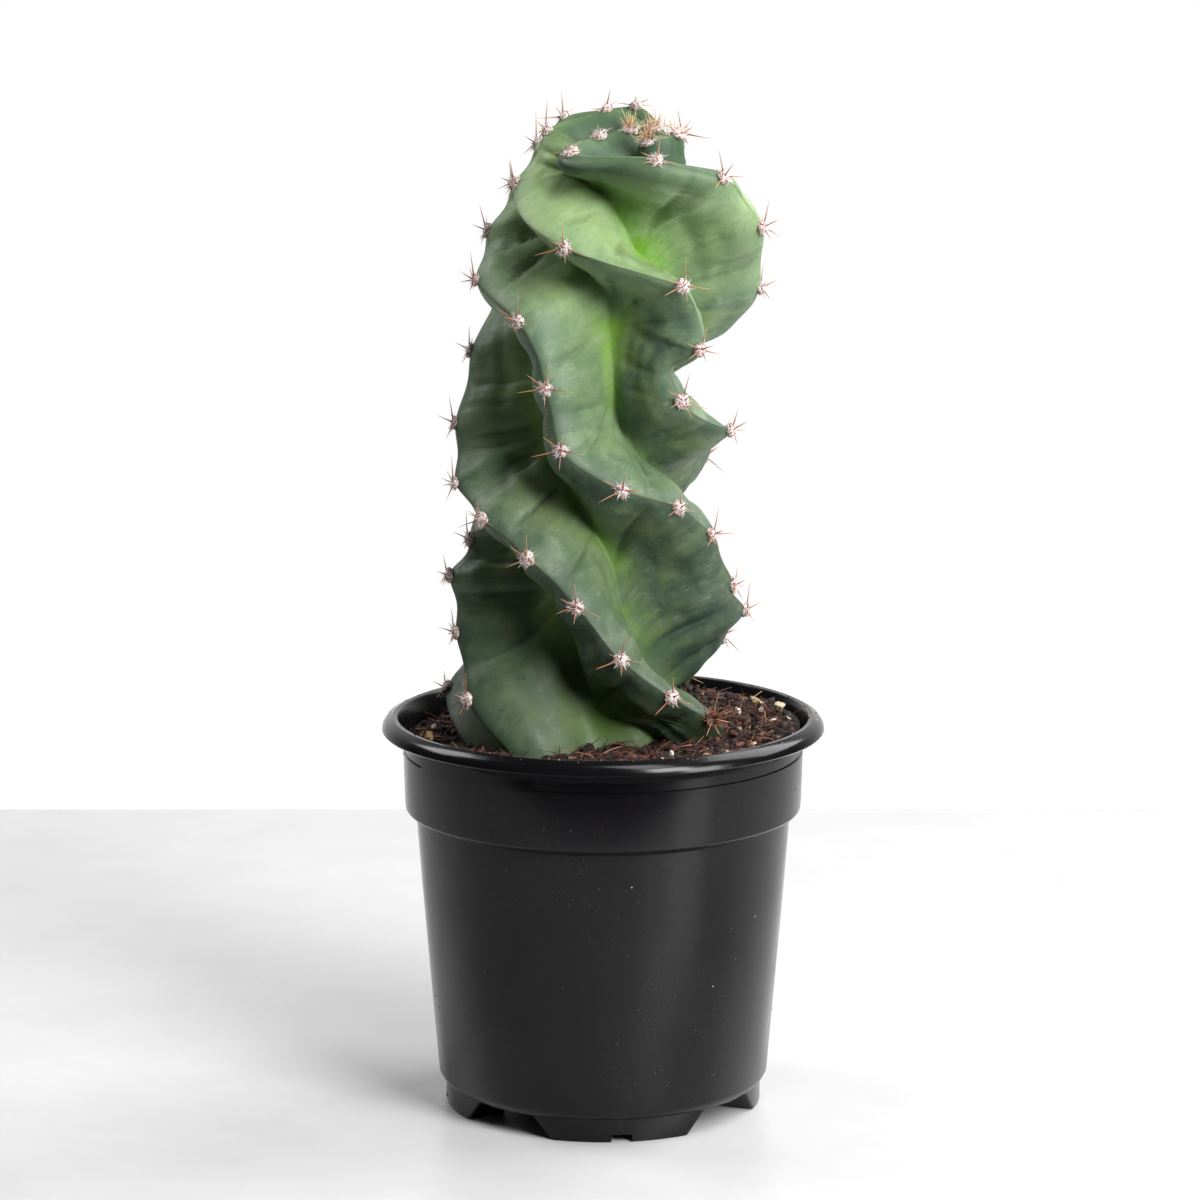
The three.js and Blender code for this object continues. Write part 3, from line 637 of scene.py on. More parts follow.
# SPINES
# Stiff, horn-like tapering spines, six to an areole, red-brown at the swollen root and
# straw-coloured at the tip. They grow out of the wool; the crown's are yellower and stand in tufts.
SPINE_LENGTH = 7
SPINE_RADIUS = 0.28
SPINE_CLEARANCE = 1
CROWN_BRISTLES, DRIED_BRISTLES = 34, 64
# Each stand: degrees round the pad from straight down, degrees off its middle, share of the length.
SPINE_STANDS = [(8, 75, 1), (105, 77, 1), (-112, 77, 1), (0, 18, 0.65)]
EXTRA_STANDS = [(172, 70, 0.6), (-60, 77, 0.8)]
CROWN_STANDS = [(40, 30, 1), (150, 35, 0.9), (-80, 28, 1), (-140, 42, 0.9)]
TUFT_STANDS = [
    (70, 18, 1.2), (-20, 26, 1.1), (200, 22, 1.2), (110, 40, 1), (-120, 50, 0.9), (0, 6, 1.2),
]
TUFT_START = 306
YOUNG_START, YOUNG_SHARE = 292, 0.75
STAND_SPREAD = 24
TIP_SPREAD = 12
LENGTH_SPREAD = 0.6
CAD_TOP = cad_high.z / MM
SOIL_LEVEL = 112
HEAP_X, HEAP_Y, HEAP_WIDTH, HEAP_HEIGHT = 22, 2, 9, 9


def chance(seed):
    """Repeatable draws from 0 to 1, the same as the solid part's."""
    state = seed
    while True:
        state = (state * 1664525 + 1013904223) % 4294967296
        yield state / 4294967296


def soil_height(x, y):
    """Height of the potting mix in millimetres, with its slope, its heap and its swells."""
    from_heap = math.hypot(x - HEAP_X, y - HEAP_Y) / HEAP_WIDTH
    heap = HEAP_HEIGHT * math.exp(-from_heap * from_heap)
    coarse = 0.7 * math.sin(x / 3.6 + 1) * math.cos(y / 4.1)
    fine = 0.5 * math.sin(x / 2.2 + y / 3.1)
    return SOIL_LEVEL + 0.04 * x + 0.005 * y + heap + coarse + fine


def spine_mesh():
    """One unit spine with a swollen root."""
    mesh = tapered_hair("spine", 6, 6, 1, 0.12)
    for vert in mesh.vertices:
        swell = 1 + 0.7 * math.exp(-(vert.co.z / 0.07) ** 2)
        vert.co.x *= swell
        vert.co.y *= swell
    return mesh


def spine_material():
    """Dark red-brown root, rust middle, straw tip; tint 1 is young straw and -1 dried brown."""
    material, tree, shader = new_material("spine_horn", Roughness=0.42)
    along, tint = attribute(tree, "along"), attribute(tree, "tint")
    rust = ramp(tree, along, [
        (0.0, (0.09, 0.022, 0.016)), (0.3, (0.24, 0.06, 0.028)), (0.7, (0.42, 0.17, 0.07)),
        (1.0, (0.5, 0.3, 0.15)),
    ])
    straw = ramp(tree, along, [
        (0.0, (0.26, 0.12, 0.05)), (0.35, (0.52, 0.35, 0.17)), (1.0, (0.74, 0.6, 0.38)),
    ])
    fresh = blend_colour(tree, tint, rust, straw)
    colour = blend_colour(tree, span(tree, tint, -0.5, -1), fresh, (0.095, 0.034, 0.02))
    scratches = grain(tree, 2600, 3)
    worn = blend_colour(tree, span(tree, scratches, 0.55, 0.75, 0, 0.35), colour, (0.2, 0.09, 0.05))
    return finish_material(material, tree, shader, worn, [(scratches, 0.25, 0.0001)])


spine_shape = spine_mesh()
spine_bm = empty_mesh("along", "tint")
cad_chance, dice = chance(11), random.Random(17)


def add_spine(root, direction, length, tint, thick=SPINE_RADIUS):
    """One slightly bowed spine, shortened where it would reach over the top of the plant."""
    end = root + direction * length
    if end.z > CAD_TOP:
        length *= max((CAD_TOP - root.z - 0.2) / (end.z - root.z), 0.2)
    bow = scatter(dice, 0.5) * MM
    bow.z = min(bow.z, 0)
    add_copy(spine_bm, spine_shape, root * MM, direction, length * MM, thick * MM, bow, tint)


for areole in areoles:
    place, look, in_crown = areole["place"], areole["look"], areole["way"] > CROWN_START
    tint = 0.75 if in_crown else dice.uniform(0, 0.3)
    stands = SPINE_STANDS + EXTRA_STANDS + (CROWN_STANDS if in_crown else [])
    for stand in stands + (TUFT_STANDS if areole["way"] > TUFT_START else []):
        round_pad, tip, share = stand
        draws = cad_chance if stand in SPINE_STANDS else iter([dice.random() for _ in range(3)])
        turned = math.radians(round_pad + STAND_SPREAD * (next(draws) - 0.5))
        over = math.radians(tip + TIP_SPREAD * (next(draws) - 0.5))
        length = share * SPINE_LENGTH * (1 + LENGTH_SPREAD * (next(draws) - 0.5))
        length *= YOUNG_SHARE if areole["way"] > YOUNG_START else 1
        side = areole["down"] * math.cos(turned) + areole["across"] * math.sin(turned)
        direction = look * math.cos(over) + side * math.sin(over)
        end = place + direction * length
        if end.z < soil_height(end.x, end.y) + SPINE_CLEARANCE:
            continue
        add_spine(place + look * PAD_LIFT, direction, length, tint)
    # Fine bristles fill the crown, and the lowest areole has dried to a brown tuft of them.
    for _ in range(CROWN_BRISTLES if in_crown else 0):
        lift = scatter(dice, 1)
        direction = (look + 0.9 * lift).normalized()
        length, straw = dice.uniform(2.5, 6.5), dice.uniform(0.1, 1)
        add_spine(place + 1.2 * lift, direction, length, straw, 0.13)
    for _ in range(DRIED_BRISTLES if areole["way"] < DRIED_BELOW else 0):
        lift = Vector([dice.uniform(-1, 1), dice.uniform(-1, 1), dice.uniform(-0.8, 0.9)])
        direction = (look + 1.2 * lift).normalized()
        dried = dice.uniform(-1, -0.6)
        add_spine(place + 1.1 * lift, direction, dice.uniform(2, 6.5), dried, 0.2)
spines = add_piece(spine_bm, "spines", spine_material())
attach(spines, "root")
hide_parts("cactus")

# POTTING MIX
# Dark fibrous peat, filled into the pot round the foot of the stem. It is loose and crumbly on top,
# a little lower on the left and heaped in the open fold on the right.
SOIL_AROUND = 256
SOIL_RINGS = 96
SOIL_EDGE = 57.9
SOIL_SIDE = [(45.3, 9.75), (47.4, 12), (52, 67), (53.4, 87), (53.7, 90.1), (56.5, 93.1)]
CRUMB_RELIEF = 1.5


def surface_height(x, y):
    """Height of the loose surface with its clods, in millimetres."""
    clods = noise.turbulence(Vector((x, y, 3)) * 0.22, 4, False) - 0.5
    grit = noise.noise(Vector((x, y, 9)) * 0.9) * 0.35
    edge = min(max((SOIL_EDGE - math.hypot(x, y)) / 3, 0), 1)
    return soil_height(x, y) + (clods * CRUMB_RELIEF + grit) * (0.4 + 0.6 * edge)


def from_axis(radius, angle):
    """Sideways and backward place at this radius and bearing from the pot's axis."""
    return radius * math.sin(angle), -radius * math.cos(angle)


def soil_row(radius, height=None):
    """One ring of the mix, at this height or on the loose surface."""
    ring = []
    for angle in np.arange(SOIL_AROUND) * 2 * math.pi / SOIL_AROUND:
        x, y = from_axis(radius, angle)
        ring.append((x, y, surface_height(x, y) if height is None else height))
    return ring


def peat_material():
    """Matt dark brown peat with redder fibres."""
    material, tree, shader = new_material("peat", Roughness=0.95)
    patches, fine = grain(tree, 160, 4), grain(tree, 1300, 5)
    black, brown = (0.003, 0.002, 0.0015), (0.016, 0.007, 0.005)
    dark = blend_colour(tree, span(tree, patches, 0.35, 0.7), black, brown)
    colour = blend_colour(tree, span(tree, fine, 0.48, 0.72, 0, 0.6), dark, (0.06, 0.02, 0.011))
    bumps = [(fine, 0.9, 0.0012), (patches, 0.6, 0.002)]
    return finish_material(material, tree, shader, colour, bumps)


soil_rows = [soil_row(0, SOIL_SIDE[0][1])] + [soil_row(*ring) for ring in SOIL_SIDE]
soil_rows += [soil_row(SOIL_EDGE * (1 - i / SOIL_RINGS)) for i in range(SOIL_RINGS + 1)]
soil = add_piece(closed_from_grid(soil_rows), "potting_mix", peat_material())
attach(soil, "root")
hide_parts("soil")

# CRUMBS
# Loose crumbs of peat that lie on top of the mix, from half a millimetre to three millimetres
# across. A clump of them is pushed up into the open fold on the right of the stem.
CRUMB_COUNT = 2600
CLUMP_CRUMBS = 300
CLUMP_X, CLUMP_Y = 27, 4
CLUMP_SPREAD = (3.2, 5, 2.2)
stem_tree = BVHTree.FromPolygons(
    [tuple(vert.co) for vert in stem.data.vertices],
    [tuple(face.vertices) for face in stem.data.polygons],
)


def clear_of_stem(point, margin):
    """True where a point in metres is outside the stem by at least the margin."""
    near, normal, _, distance = stem_tree.find_nearest(point)
    return distance > margin and (point - near).dot(normal) > 0


def soil_spots(dice, count, margin, reach=(12, 56.5)):
    """Random places on the open surface of the mix, in millimetres."""
    found = []
    while len(found) < count:
        angle = dice.uniform(0, 2 * math.pi)
        radius = math.sqrt(dice.uniform(reach[0] ** 2, reach[1] ** 2))
        x, y = from_axis(radius, angle)
        spot_at = Vector((x, y, surface_height(x, y)))
        if clear_of_stem(spot_at * MM, margin * MM):
            found.append(spot_at)
    return found


def mostly_small(dice, least, spread, power):
    """A size that is far more often small than large."""
    return least + spread * dice.random() ** power


def bell(dice):
    """Three draws from a bell curve, as a vector."""
    return Vector([dice.gauss(0, 1) for _ in range(3)])


def add_lump(bm, place, size, dice, rough, tint, detail=1, cuts=0):
    """One rough lump with a number of flat broken sides; place and size in millimetres."""
    angle = dice.uniform(0, 6.28)
    turn = Matrix.Rotation(angle, 4, scatter(dice, 1).normalized())
    shape = turn @ Matrix.Diagonal((1, dice.uniform(0.6, 1), dice.uniform(0.6, 0.95), 1))
    made = bmesh.ops.create_icosphere(bm, subdivisions=detail, radius=size * MM)
    shift = Vector([dice.uniform(0, 50) for _ in range(3)])
    broken = [(bell(dice).normalized(), dice.uniform(0.45, 0.75)) for _ in range(cuts)]
    layer = bm.verts.layers.float["tint"]
    for vert in made["verts"]:
        unit = vert.co / (size * MM)
        unit *= 1 + rough * noise.noise(unit * 1.3 + shift)
        for facing, reach in broken:
            unit -= facing * max(unit.dot(facing) - reach, 0)
        vert.co = shape @ (unit * size * MM) + place * MM
        vert[layer] = tint


crumb_dice = random.Random(23)
crumb_bm = empty_mesh("tint")
for place in soil_spots(crumb_dice, CRUMB_COUNT, margin=0.3):
    size = mostly_small(crumb_dice, 0.3, 1.4, 2.5)
    place.z += size * crumb_dice.uniform(0, 0.5)
    add_lump(crumb_bm, place, size, crumb_dice, 0.9, crumb_dice.random())
for _ in range(CLUMP_CRUMBS):
    away = bell(crumb_dice)
    place = Vector((CLUMP_X + CLUMP_SPREAD[0] * away.x, CLUMP_Y + CLUMP_SPREAD[1] * away.y, 0))
    place.z = surface_height(place.x, place.y) + abs(away.z) * CLUMP_SPREAD[2]
    if clear_of_stem(place * MM, 0.3 * MM):
        size = crumb_dice.uniform(0.4, 1.1)
        add_lump(crumb_bm, place, size, crumb_dice, 0.9, crumb_dice.random())


def tinted_material(name, roughness, stops, noise_of, flecks, fleck_colour, bump):
    """A loose material: each bit's tint picks its colour from the stops, and flecks break it up."""
    material, tree, shader = new_material(name, Roughness=roughness)
    grains = grain(tree, *noise_of)
    colour = ramp(tree, attribute(tree, "tint"), stops)
    flecked = blend_colour(tree, span(tree, grains, *flecks), colour, fleck_colour)
    return finish_material(material, tree, shader, flecked, [(grains, *bump)])


# Peat from nearly black to red-brown.
crumb_material = tinted_material(
    "peat_crumb", 0.8, [
        (0.0, (0.0025, 0.0015, 0.0012)), (0.5, (0.009, 0.0035, 0.003)),
        (0.8, (0.036, 0.01, 0.006)), (1.0, (0.12, 0.036, 0.02)),
    ],
    noise_of=(1300, 5), flecks=(0.5, 0.75, 0, 0.4), fleck_colour=(0.08, 0.026, 0.014),
    bump=(0.9, 0.0008),
)
crumbs = add_piece(crumb_bm, "peat_crumbs", crumb_material)
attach(crumbs, "root")
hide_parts("soil")

# FIBRES
# Thin dry fibres of root and bark, red-brown to tan. They lie on the mix, and some stick out of it
# with one end.
FIBRE_COUNT = 2300
FIBRE_THICKNESSES = (0.07, 0.11, 0.16, 0.26)
FIBRE_RISES = (0.05, 0.1, 0.2, 0.4, 0.9)
FIBRE_LIMIT = 57.5
FIBRE_LIFT = 0.4
fibre_dice = random.Random(31)
fibre_bm = empty_mesh("along", "tint")
fibre_mesh = tapered_hair("fibre", 4, 5, 1, 0.5)
for place in soil_spots(fibre_dice, FIBRE_COUNT, margin=0.6):
    turned = fibre_dice.uniform(0, 2 * math.pi)
    rise = fibre_dice.choice(FIBRE_RISES)
    direction = Vector((math.cos(turned), math.sin(turned), rise)).normalized()
    length = fibre_dice.uniform(2, 6.5)
    end = place + direction * length
    if math.hypot(end.x, end.y) > FIBRE_LIMIT or not clear_of_stem(end * MM, 0.5 * MM):
        continue
    curl = Vector([fibre_dice.uniform(-1.3, 1.3), fibre_dice.uniform(-1.3, 1.3), -0.6]) * MM
    thick = fibre_dice.choice(FIBRE_THICKNESSES)
    place.z += FIBRE_LIFT
    tint = fibre_dice.random()
    add_copy(fibre_bm, fibre_mesh, place * MM, direction, length * MM, thick * MM, curl, tint)
# Dry fibre from red-brown to tan.
fibre_material = tinted_material(
    "peat_fibre", 0.85, [
        (0.0, (0.011, 0.005, 0.004)), (0.5, (0.055, 0.016, 0.01)), (0.85, (0.17, 0.05, 0.026)),
        (1.0, (0.38, 0.19, 0.1)),
    ],
    noise_of=(2200, 3), flecks=(0.4, 0.7, 0, 0.5), fleck_colour=(0.05, 0.022, 0.014),
    bump=(0.5, 0.0002),
)
fibres = add_piece(fibre_bm, "peat_fibres", fibre_material)
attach(fibres, "root")
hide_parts("soil")

# BARK
# Flat chips of reddish bark that lie among the crumbs, the longest of them in front of the stem.
# They are fibrous along their length and torn at the edges.
BARK_COUNT = 46
CHIP_THINNESS = 0.24
CHIP_LIFT = 0.9
bark_dice = random.Random(43)
bark_bm = empty_mesh("tint")
# The chips that show in front and on the left: place, length, way they point in degrees, tint.
SHOWN_BARK = [
    (11, -35.5, 8, 4, 0.75), (5.5, -41, 4.5, -20, 0.5), (-51, -3, 4, 60, 0.95),
    (-47, -14, 4.5, 20, 0.55), (24, -42, 4, 35, 0.4), (46, -22, 4.5, 70, 0.6),
    (50, -14, 3.5, 10, 0.8),
]
bark = SHOWN_BARK + [
    (place.x, place.y, bark_dice.uniform(1.8, 4), bark_dice.uniform(0, 180), bark_dice.random())
    for place in soil_spots(bark_dice, BARK_COUNT, margin=2.2, reach=(12, 53))
]
for x, y, length, points, tint in bark:
    flat = Matrix.Diagonal((1, bark_dice.uniform(0.35, 0.5), CHIP_THINNESS, 1))
    tilt = Matrix.Rotation(math.radians(bark_dice.uniform(-14, 14)), 4, "Y")
    at = Matrix.Translation(Vector((x, y, surface_height(x, y) + CHIP_LIFT)) * MM)
    turn = at @ Matrix.Rotation(math.radians(points), 4, "Z") @ tilt @ flat
    made = bmesh.ops.create_icosphere(bark_bm, subdivisions=3, radius=length / 2 * MM)
    shift = Vector([bark_dice.uniform(0, 50) for _ in range(3)])
    for vert in made["verts"]:
        unit = vert.co / (length / 2 * MM)
        torn = 0.35 * noise.noise(unit * 1.6 + shift) + 0.12 * noise.noise(unit * 6 + shift)
        vert.co = turn @ (vert.co * (1 + torn))
        vert[bark_bm.verts.layers.float["tint"]] = tint
# Fibrous bark from dark brown to tan, a little glossy where it is damp.
bark_material = tinted_material(
    "bark", 0.5, [
        (0.0, (0.025, 0.01, 0.007)), (0.5, (0.1, 0.035, 0.02)), (0.8, (0.22, 0.1, 0.065)),
        (1.0, (0.42, 0.22, 0.11)),
    ],
    noise_of=(900, 5, 0.6, (1, 4, 4)), flecks=(0.42, 0.62, 0, 0.7),
    fleck_colour=(0.035, 0.014, 0.009), bump=(0.8, 0.0004),
)
bark_chips = add_piece(bark_bm, "bark_chips", bark_material)
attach(bark_chips, "root")
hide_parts("soil")

# GRIT
# Broken grains of white perlite and cream to tan stone, up to four millimetres across, mixed into
# the peat and half sunk in its surface.
GRIT_COUNT = 140
GRIT_TINTS = (0, 0.3, 0.55, 0.8, 0.9, 1)
grit_dice = random.Random(37)
grit_bm = empty_mesh("tint")
# The larger chips that show: place on the mix, size and tint from white to tan.
SHOWN_CHIPS = [
    (40, 16, 1.5, 0.35), (45.5, 27, 1.7, 0.7), (48, 24, 1, 0.3), (52, 10, 2, 0.5),
    (54.5, 5, 1, 0.1), (50, 2, 1.1, 0.2), (35, 18.5, 0.9, 0), (30, 39, 0.8, 0.3),
    (40, -10.5, 0.8, 0.4), (47, 17, 0.9, 0.15), (19.5, -38, 1.1, 0.05), (43, 33, 0.9, 0.6),
    (-50.5, 9.5, 1.2, 0.1), (-48.5, 16, 1, 0), (-51, -5.5, 1.8, 0.85), (2, -43.5, 0.7, 0.3),
    (-13, -43, 0.9, 0.1),
]
for x, y, size, tint in SHOWN_CHIPS:
    place = Vector((x, y, surface_height(x, y) + 0.7 * size))
    add_lump(grit_bm, place, size * 1.15, grit_dice, 0.5, tint, detail=3, cuts=9)
for place in soil_spots(grit_dice, GRIT_COUNT, margin=0.8):
    size = mostly_small(grit_dice, 0.3, 0.75, 2.5)
    place.z += size * 0.5
    tint = grit_dice.choice(GRIT_TINTS)
    add_lump(grit_bm, place, size, grit_dice, 0.5, tint, detail=2, cuts=7)
# Porous white to tan grains, stained by peat in their hollows.
grit_material = tinted_material(
    "perlite", 0.8, [
        (0.0, (0.66, 0.62, 0.55)), (0.5, (0.52, 0.43, 0.29)), (0.8, (0.4, 0.26, 0.11)),
        (1.0, (0.22, 0.11, 0.055)),
    ],
    noise_of=(1500, 4), flecks=(0.5, 0.7, 0, 0.8), fleck_colour=(0.13, 0.065, 0.04),
    bump=(0.8, 0.0005),
)
grit = add_piece(grit_bm, "perlite_grit", grit_material)
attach(grit, "root")
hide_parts("soil")

# POT
# One injection-moulded nursery pot of thin black plastic with a soft gloss: rolled rim, recessed
# strip with two flush blocks, collar, tapering wall, raised floor with four drain holes, and four
# feet with a small notch each.
POT_STEPS = 240
# The wall's outline from the middle of the floor up the outside to the rim, then down the inside.
OUTSIDE = [
    (0, 6.8), (43.5, 6.8), (45.6, 6.6), (46.8, 6.8), (47.9, 7.9), (48.8, 9.6), (53.6, 67),
    (55.1, 87.3), (56.2, 88.2), (57.6, 88.8), (58.2, 89.5), (58.4, 91.5), (58.8, 106.2),
    (58.3, 106.5), (58.4, 109.2), (59.2, 109.6), (60.8, 111.2), (64.4, 112.2), (65, 112.8),
    (64.8, 114), (63.7, 115.6), (61.8, 116.5), (60.5, 116.3), (59.9, 115.3),
]
INSIDE = [
    (58.2, 109), (57, 92.5), (54.2, 89.6), (53.8, 87), (52.4, 67), (47.9, 11.5), (45.8, 9.4),
    (0, 9.4),
]
# Blocks bent round the pot: inner and outer radius, low and high side, half angle at the low and
# at the high side.
FOOT = (34, 46.8, 0, 7.7, 25, 34)
STRIP_BLOCK = (57.8, 58.8, 105.9, 110, 22, 22)
BLOCK_CUTS = 23
FOOT_BEARINGS = [6.6, 96.6, 186.6, 276.6]
BLOCK_BEARINGS = [-41.5, 138.5]
DRAIN_BEARINGS = [51.6, 141.6, 231.6, 321.6]
NOTCH_WIDTH, NOTCH_HEIGHT = 6, 2.3
DRAIN_RADIUS, DRAIN_REACH, DRAIN_DEPTH = 4.5, 37, 12
FLOOR_HEIGHT = OUTSIDE[0][1]


def ring_block(bearing, sizes):
    """A block bent round the pot at this bearing."""
    inner, outer, low, high, half_low, half_high = sizes
    bm = bmesh.new()
    bmesh.ops.create_cube(bm, size=2)
    lengthwise = [edge for edge in bm.edges if abs(edge.verts[0].co.x - edge.verts[1].co.x) > 1]
    bmesh.ops.subdivide_edges(bm, edges=lengthwise, cuts=BLOCK_CUTS)
    for vert in bm.verts:
        share, depth, rise = vert.co.x, (vert.co.y + 1) / 2, (vert.co.z + 1) / 2
        angle = math.radians(bearing + share * (half_low + (half_high - half_low) * rise))
        x, y = from_axis(outer + (inner - outer) * depth, angle)
        vert.co = Vector((x, y, low + (high - low) * rise)) * MM
    bmesh.ops.recalc_face_normals(bm, faces=bm.faces)
    return bm


def soften_edges(bm, width):
    """Bevels the sharp edges of a block."""
    sharp = [edge for edge in bm.edges if edge.calc_face_angle(0) > math.radians(35)]
    bmesh.ops.bevel(
        bm, geom=sharp, offset=width * MM, affect="EDGES", segments=2, profile=0.5, material=-1,
    )


def join_or_cut(target, bm, operation):
    """Joins finished mesh work to the target or cuts it away, for good."""
    tool = in_scene("tool", finished_mesh(bm, "tool"))
    boolean = target.modifiers.new("boolean", "BOOLEAN")
    boolean.object, boolean.operation, boolean.solver = tool, operation, "EXACT"
    graph = bpy.context.evaluated_depsgraph_get()
    result = bpy.data.meshes.new_from_object(target.evaluated_get(graph))
    target.modifiers.clear()
    target.data = result
    bpy.data.objects.remove(tool)


def pot_material():
    """Smooth black plastic with a soft gloss, faint clouding, fine dust and a few scuffs."""
    material, tree, shader = new_material("pot_plastic", Specular_IOR_Level=0.24)
    cloud, dust, scuffs = grain(tree, 24, 4), grain(tree, 1100, 3), grain(tree, 75, 7, 0.72)
    darkest, dark = (0.003, 0.0027, 0.0033), (0.006, 0.0054, 0.0062)
    black = blend_colour(tree, span(tree, cloud, 0.35, 0.7), darkest, dark)
    scuffed = blend_colour(tree, span(tree, scuffs, 0.62, 0.8, 0, 0.3), black, (0.045, 0.043, 0.046))
    dusty = both(tree, (dust, 0.68, 0.74), (cloud, 0.48, 0.62))
    colour = blend_colour(tree, dusty, scuffed, (0.12, 0.085, 0.06))
    smooth, rubbed = span(tree, cloud, 0.3, 0.7, 0.15, 0.21), span(tree, scuffs, 0.55, 0.8, 0, 0.15)
    tree.links.new(combine(tree, "ADD", smooth, rubbed), shader.inputs["Roughness"])
    bumps = [(cloud, 0.05, 0.0015), (scuffs, 0.02, 0.0004)]
    return finish_material(material, tree, shader, colour, bumps)


pot_bm = bmesh.new()
corners = [pot_bm.verts.new((radius * MM, 0, height * MM)) for radius, height in OUTSIDE + INSIDE]
outline = [pot_bm.edges.new(pair) for pair in zip(corners, corners[1:])]
bmesh.ops.spin(
    pot_bm, geom=corners + outline, cent=(0, 0, 0), axis=(0, 0, 1), angle=2 * math.pi,
    steps=POT_STEPS, use_merge=True,
)
bmesh.ops.remove_doubles(pot_bm, verts=pot_bm.verts, dist=1e-6)
bmesh.ops.recalc_face_normals(pot_bm, faces=pot_bm.faces)
pot = in_scene("nursery_pot", finished_mesh(pot_bm, "nursery_pot"))
for bearing in FOOT_BEARINGS:
    foot_bm = ring_block(bearing, FOOT)
    soften_edges(foot_bm, 0.5)
    join_or_cut(pot, foot_bm, "UNION")
    notch_bm = bmesh.new()
    around = Matrix.Rotation(math.radians(bearing), 4, "Z")
    at = Matrix.Translation((0, -FOOT[1] * MM, 0))
    size = Matrix.Diagonal((NOTCH_WIDTH * MM, 2 * FOOT[1] * MM, 2 * NOTCH_HEIGHT * MM, 1))
    bmesh.ops.create_cube(notch_bm, size=1, matrix=around @ at @ size)
    join_or_cut(pot, notch_bm, "DIFFERENCE")
for bearing in BLOCK_BEARINGS:
    join_or_cut(pot, ring_block(bearing, STRIP_BLOCK), "UNION")
for bearing in DRAIN_BEARINGS:
    drain_bm = bmesh.new()
    around = Matrix.Rotation(math.radians(bearing), 4, "Z")
    at = Matrix.Translation((0, -DRAIN_REACH * MM, FLOOR_HEIGHT * MM))
    bmesh.ops.create_cone(
        drain_bm, cap_ends=True, segments=40, radius1=DRAIN_RADIUS * MM, radius2=DRAIN_RADIUS * MM,
        depth=DRAIN_DEPTH * MM, matrix=around @ at,
    )
    join_or_cut(pot, drain_bm, "DIFFERENCE")
pot.data.materials.clear()
pot.data.materials.append(pot_material())
pot.data.shade_smooth()
pot.data.set_sharp_from_angle(angle=math.radians(32))
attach(pot, "root")
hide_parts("pot")

# DEBRIS
# Dry specks of peat and grit, under a millimetre across, that stuck to the rim and the wall when
# the pot was filled.
RIM_SPECKS = 170
WALL_SPECKS = 150
RIM_TOP, RIM_TOP_RADIUS, RIM_WIDTH, RIM_DROP = 116.5, 60.3, 3.2, 0.9
WALL_TOP, WALL_SPAN = 106, 80
debris_dice = random.Random(47)
debris_bm = empty_mesh("tint")


def add_speck(radius, height, angle, size):
    """One speck on the pot at this radius and height, in millimetres."""
    place = Vector((*from_axis(radius, angle), height))
    add_lump(debris_bm, place, size, debris_dice, 0.6, debris_dice.random())


for _ in range(RIM_SPECKS):
    share = debris_dice.random()
    size = mostly_small(debris_dice, 0.12, 0.3, 3)
    radius, height = RIM_TOP_RADIUS + RIM_WIDTH * share, RIM_TOP - RIM_DROP * share ** 2
    add_speck(radius, height, debris_dice.uniform(0, 2 * math.pi), size)
# The part of the outline between the foot line and the rim.
wall_radii, wall_heights = zip(*OUTSIDE[5:18])
for _ in range(WALL_SPECKS):
    height = WALL_TOP - WALL_SPAN * debris_dice.random() ** 2
    radius = float(np.interp(height, wall_heights, wall_radii))
    size = mostly_small(debris_dice, 0.08, 0.2, 3)
    add_speck(radius, height, debris_dice.uniform(0, 2 * math.pi), size)
# Dry specks from peat brown to pale grit.
debris_material = tinted_material(
    "debris", 0.9, [
        (0.0, (0.03, 0.016, 0.011)), (0.5, (0.12, 0.06, 0.035)), (0.8, (0.3, 0.2, 0.13)),
        (1.0, (0.6, 0.52, 0.42)),
    ],
    noise_of=(3000, 3), flecks=(0.4, 0.7, 0, 0.4), fleck_colour=(0.04, 0.022, 0.015),
    bump=(0.6, 0.0001),
)
debris = add_piece(debris_bm, "debris", debris_material)
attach(debris, "root")
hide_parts("soil")

# TABLE, LIGHT AND CAMERA
# A plain pale table top in front of a white surround. Soft boxes light the plant from the front
# right, from above, from low on the right and from behind on both sides. Places are in metres.
TABLE_HALF_WIDTH, TABLE_BACK, TABLE_FRONT = 1.6, 0.364, -0.3
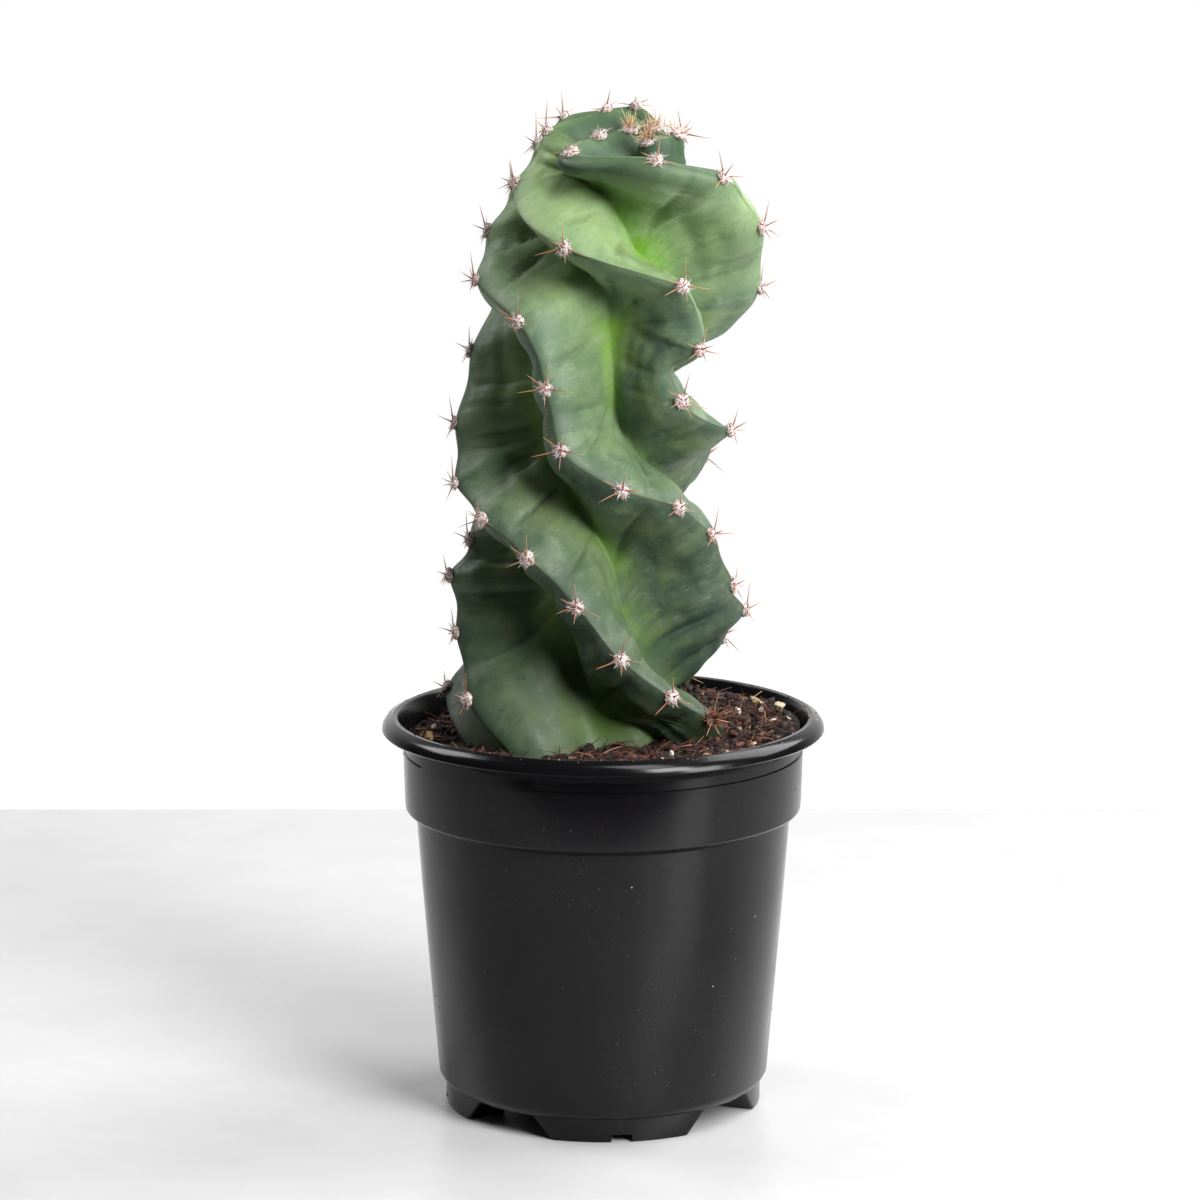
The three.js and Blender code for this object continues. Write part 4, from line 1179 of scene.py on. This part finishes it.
# Name, place, height of the spot that it faces, width, height, power in watts.
SOFT_BOXES = [
    ("key_light", (0.72, -0.99, 0.86), 0.18, 0.5, 0.6, 21),
    ("top_light", (0.36, -0.55, 1.42), 0.18, 0.45, 0.8, 9),
    ("low_light", (1.08, -0.84, 0.47), 0.15, 0.5, 0.5, 12),
    ("back_left_light", (-0.97, 0.45, 1.08), 0.18, 0.6, 0.6, 10),
    ("back_right_light", (0.97, 0.45, 1.08), 0.18, 1, 1, 22),
]
CAMERA_PLACE = (-0.0009, -1.293, 0.399)
CAMERA_TILT = 10.87
LENS, SENSOR_WIDTH = 134.9, 36
floor_bm = bmesh.new()
bmesh.ops.create_grid(floor_bm, x_segments=1, y_segments=1, size=1)
for vert in floor_bm.verts:
    depth = TABLE_BACK if vert.co.y > 0 else TABLE_FRONT
    vert.co = Vector((vert.co.x * TABLE_HALF_WIDTH, depth, 0))


def floor_material():
    """Pale grey mottled table top."""
    material, tree, shader = new_material("table_top", Roughness=0.35)
    mottle = grain(tree, 14, 7, 0.65)
    grey, pale = (0.5, 0.5, 0.505), (0.56, 0.56, 0.565)
    colour = blend_colour(tree, span(tree, mottle, 0.35, 0.7), grey, pale)
    return finish_material(material, tree, shader, colour, [(mottle, 0.05, 0.002)])


floor = add_piece(floor_bm, "table_top", floor_material())

for name, place, aim, width, height, power in SOFT_BOXES:
    data = bpy.data.lights.new(name, "AREA")
    data.shape, data.size, data.size_y, data.energy = "RECTANGLE", width, height, power
    light = in_scene(name, data)
    light.location = place
    light.rotation_euler = (Vector((0, 0, aim)) - Vector(place)).to_track_quat("-Z", "Y").to_euler()

# The surround is plain white to the camera, but lights the object mostly from behind.
world = bpy.data.worlds.new("studio")
bpy.context.scene.world = world
world.use_nodes = True
sky = world.node_tree
direction = node(sky, "ShaderNodeTexCoord").outputs["Generated"]
parts = node(sky, "ShaderNodeSeparateXYZ", {0: direction})
behind = span(sky, parts.outputs["Y"], 0.5, 0.95, 0.04, 1.0)
seen = node(sky, "ShaderNodeLightPath").outputs["Is Camera Ray"]
strength = span(sky, seen, 0, 1, behind, 1.0)
background = sky.nodes["Background"]
background.inputs["Color"].default_value = (1, 1, 1, 1)
sky.links.new(strength, background.inputs["Strength"])

camera_data = bpy.data.cameras.new("camera")
camera_data.lens = LENS
camera_data.sensor_width = SENSOR_WIDTH
camera = in_scene("camera", camera_data)
camera.location = CAMERA_PLACE
camera.rotation_euler = (math.radians(90 - CAMERA_TILT), 0, 0)
bpy.context.scene.camera = camera
bpy.context.scene.view_settings.view_transform = "Standard"
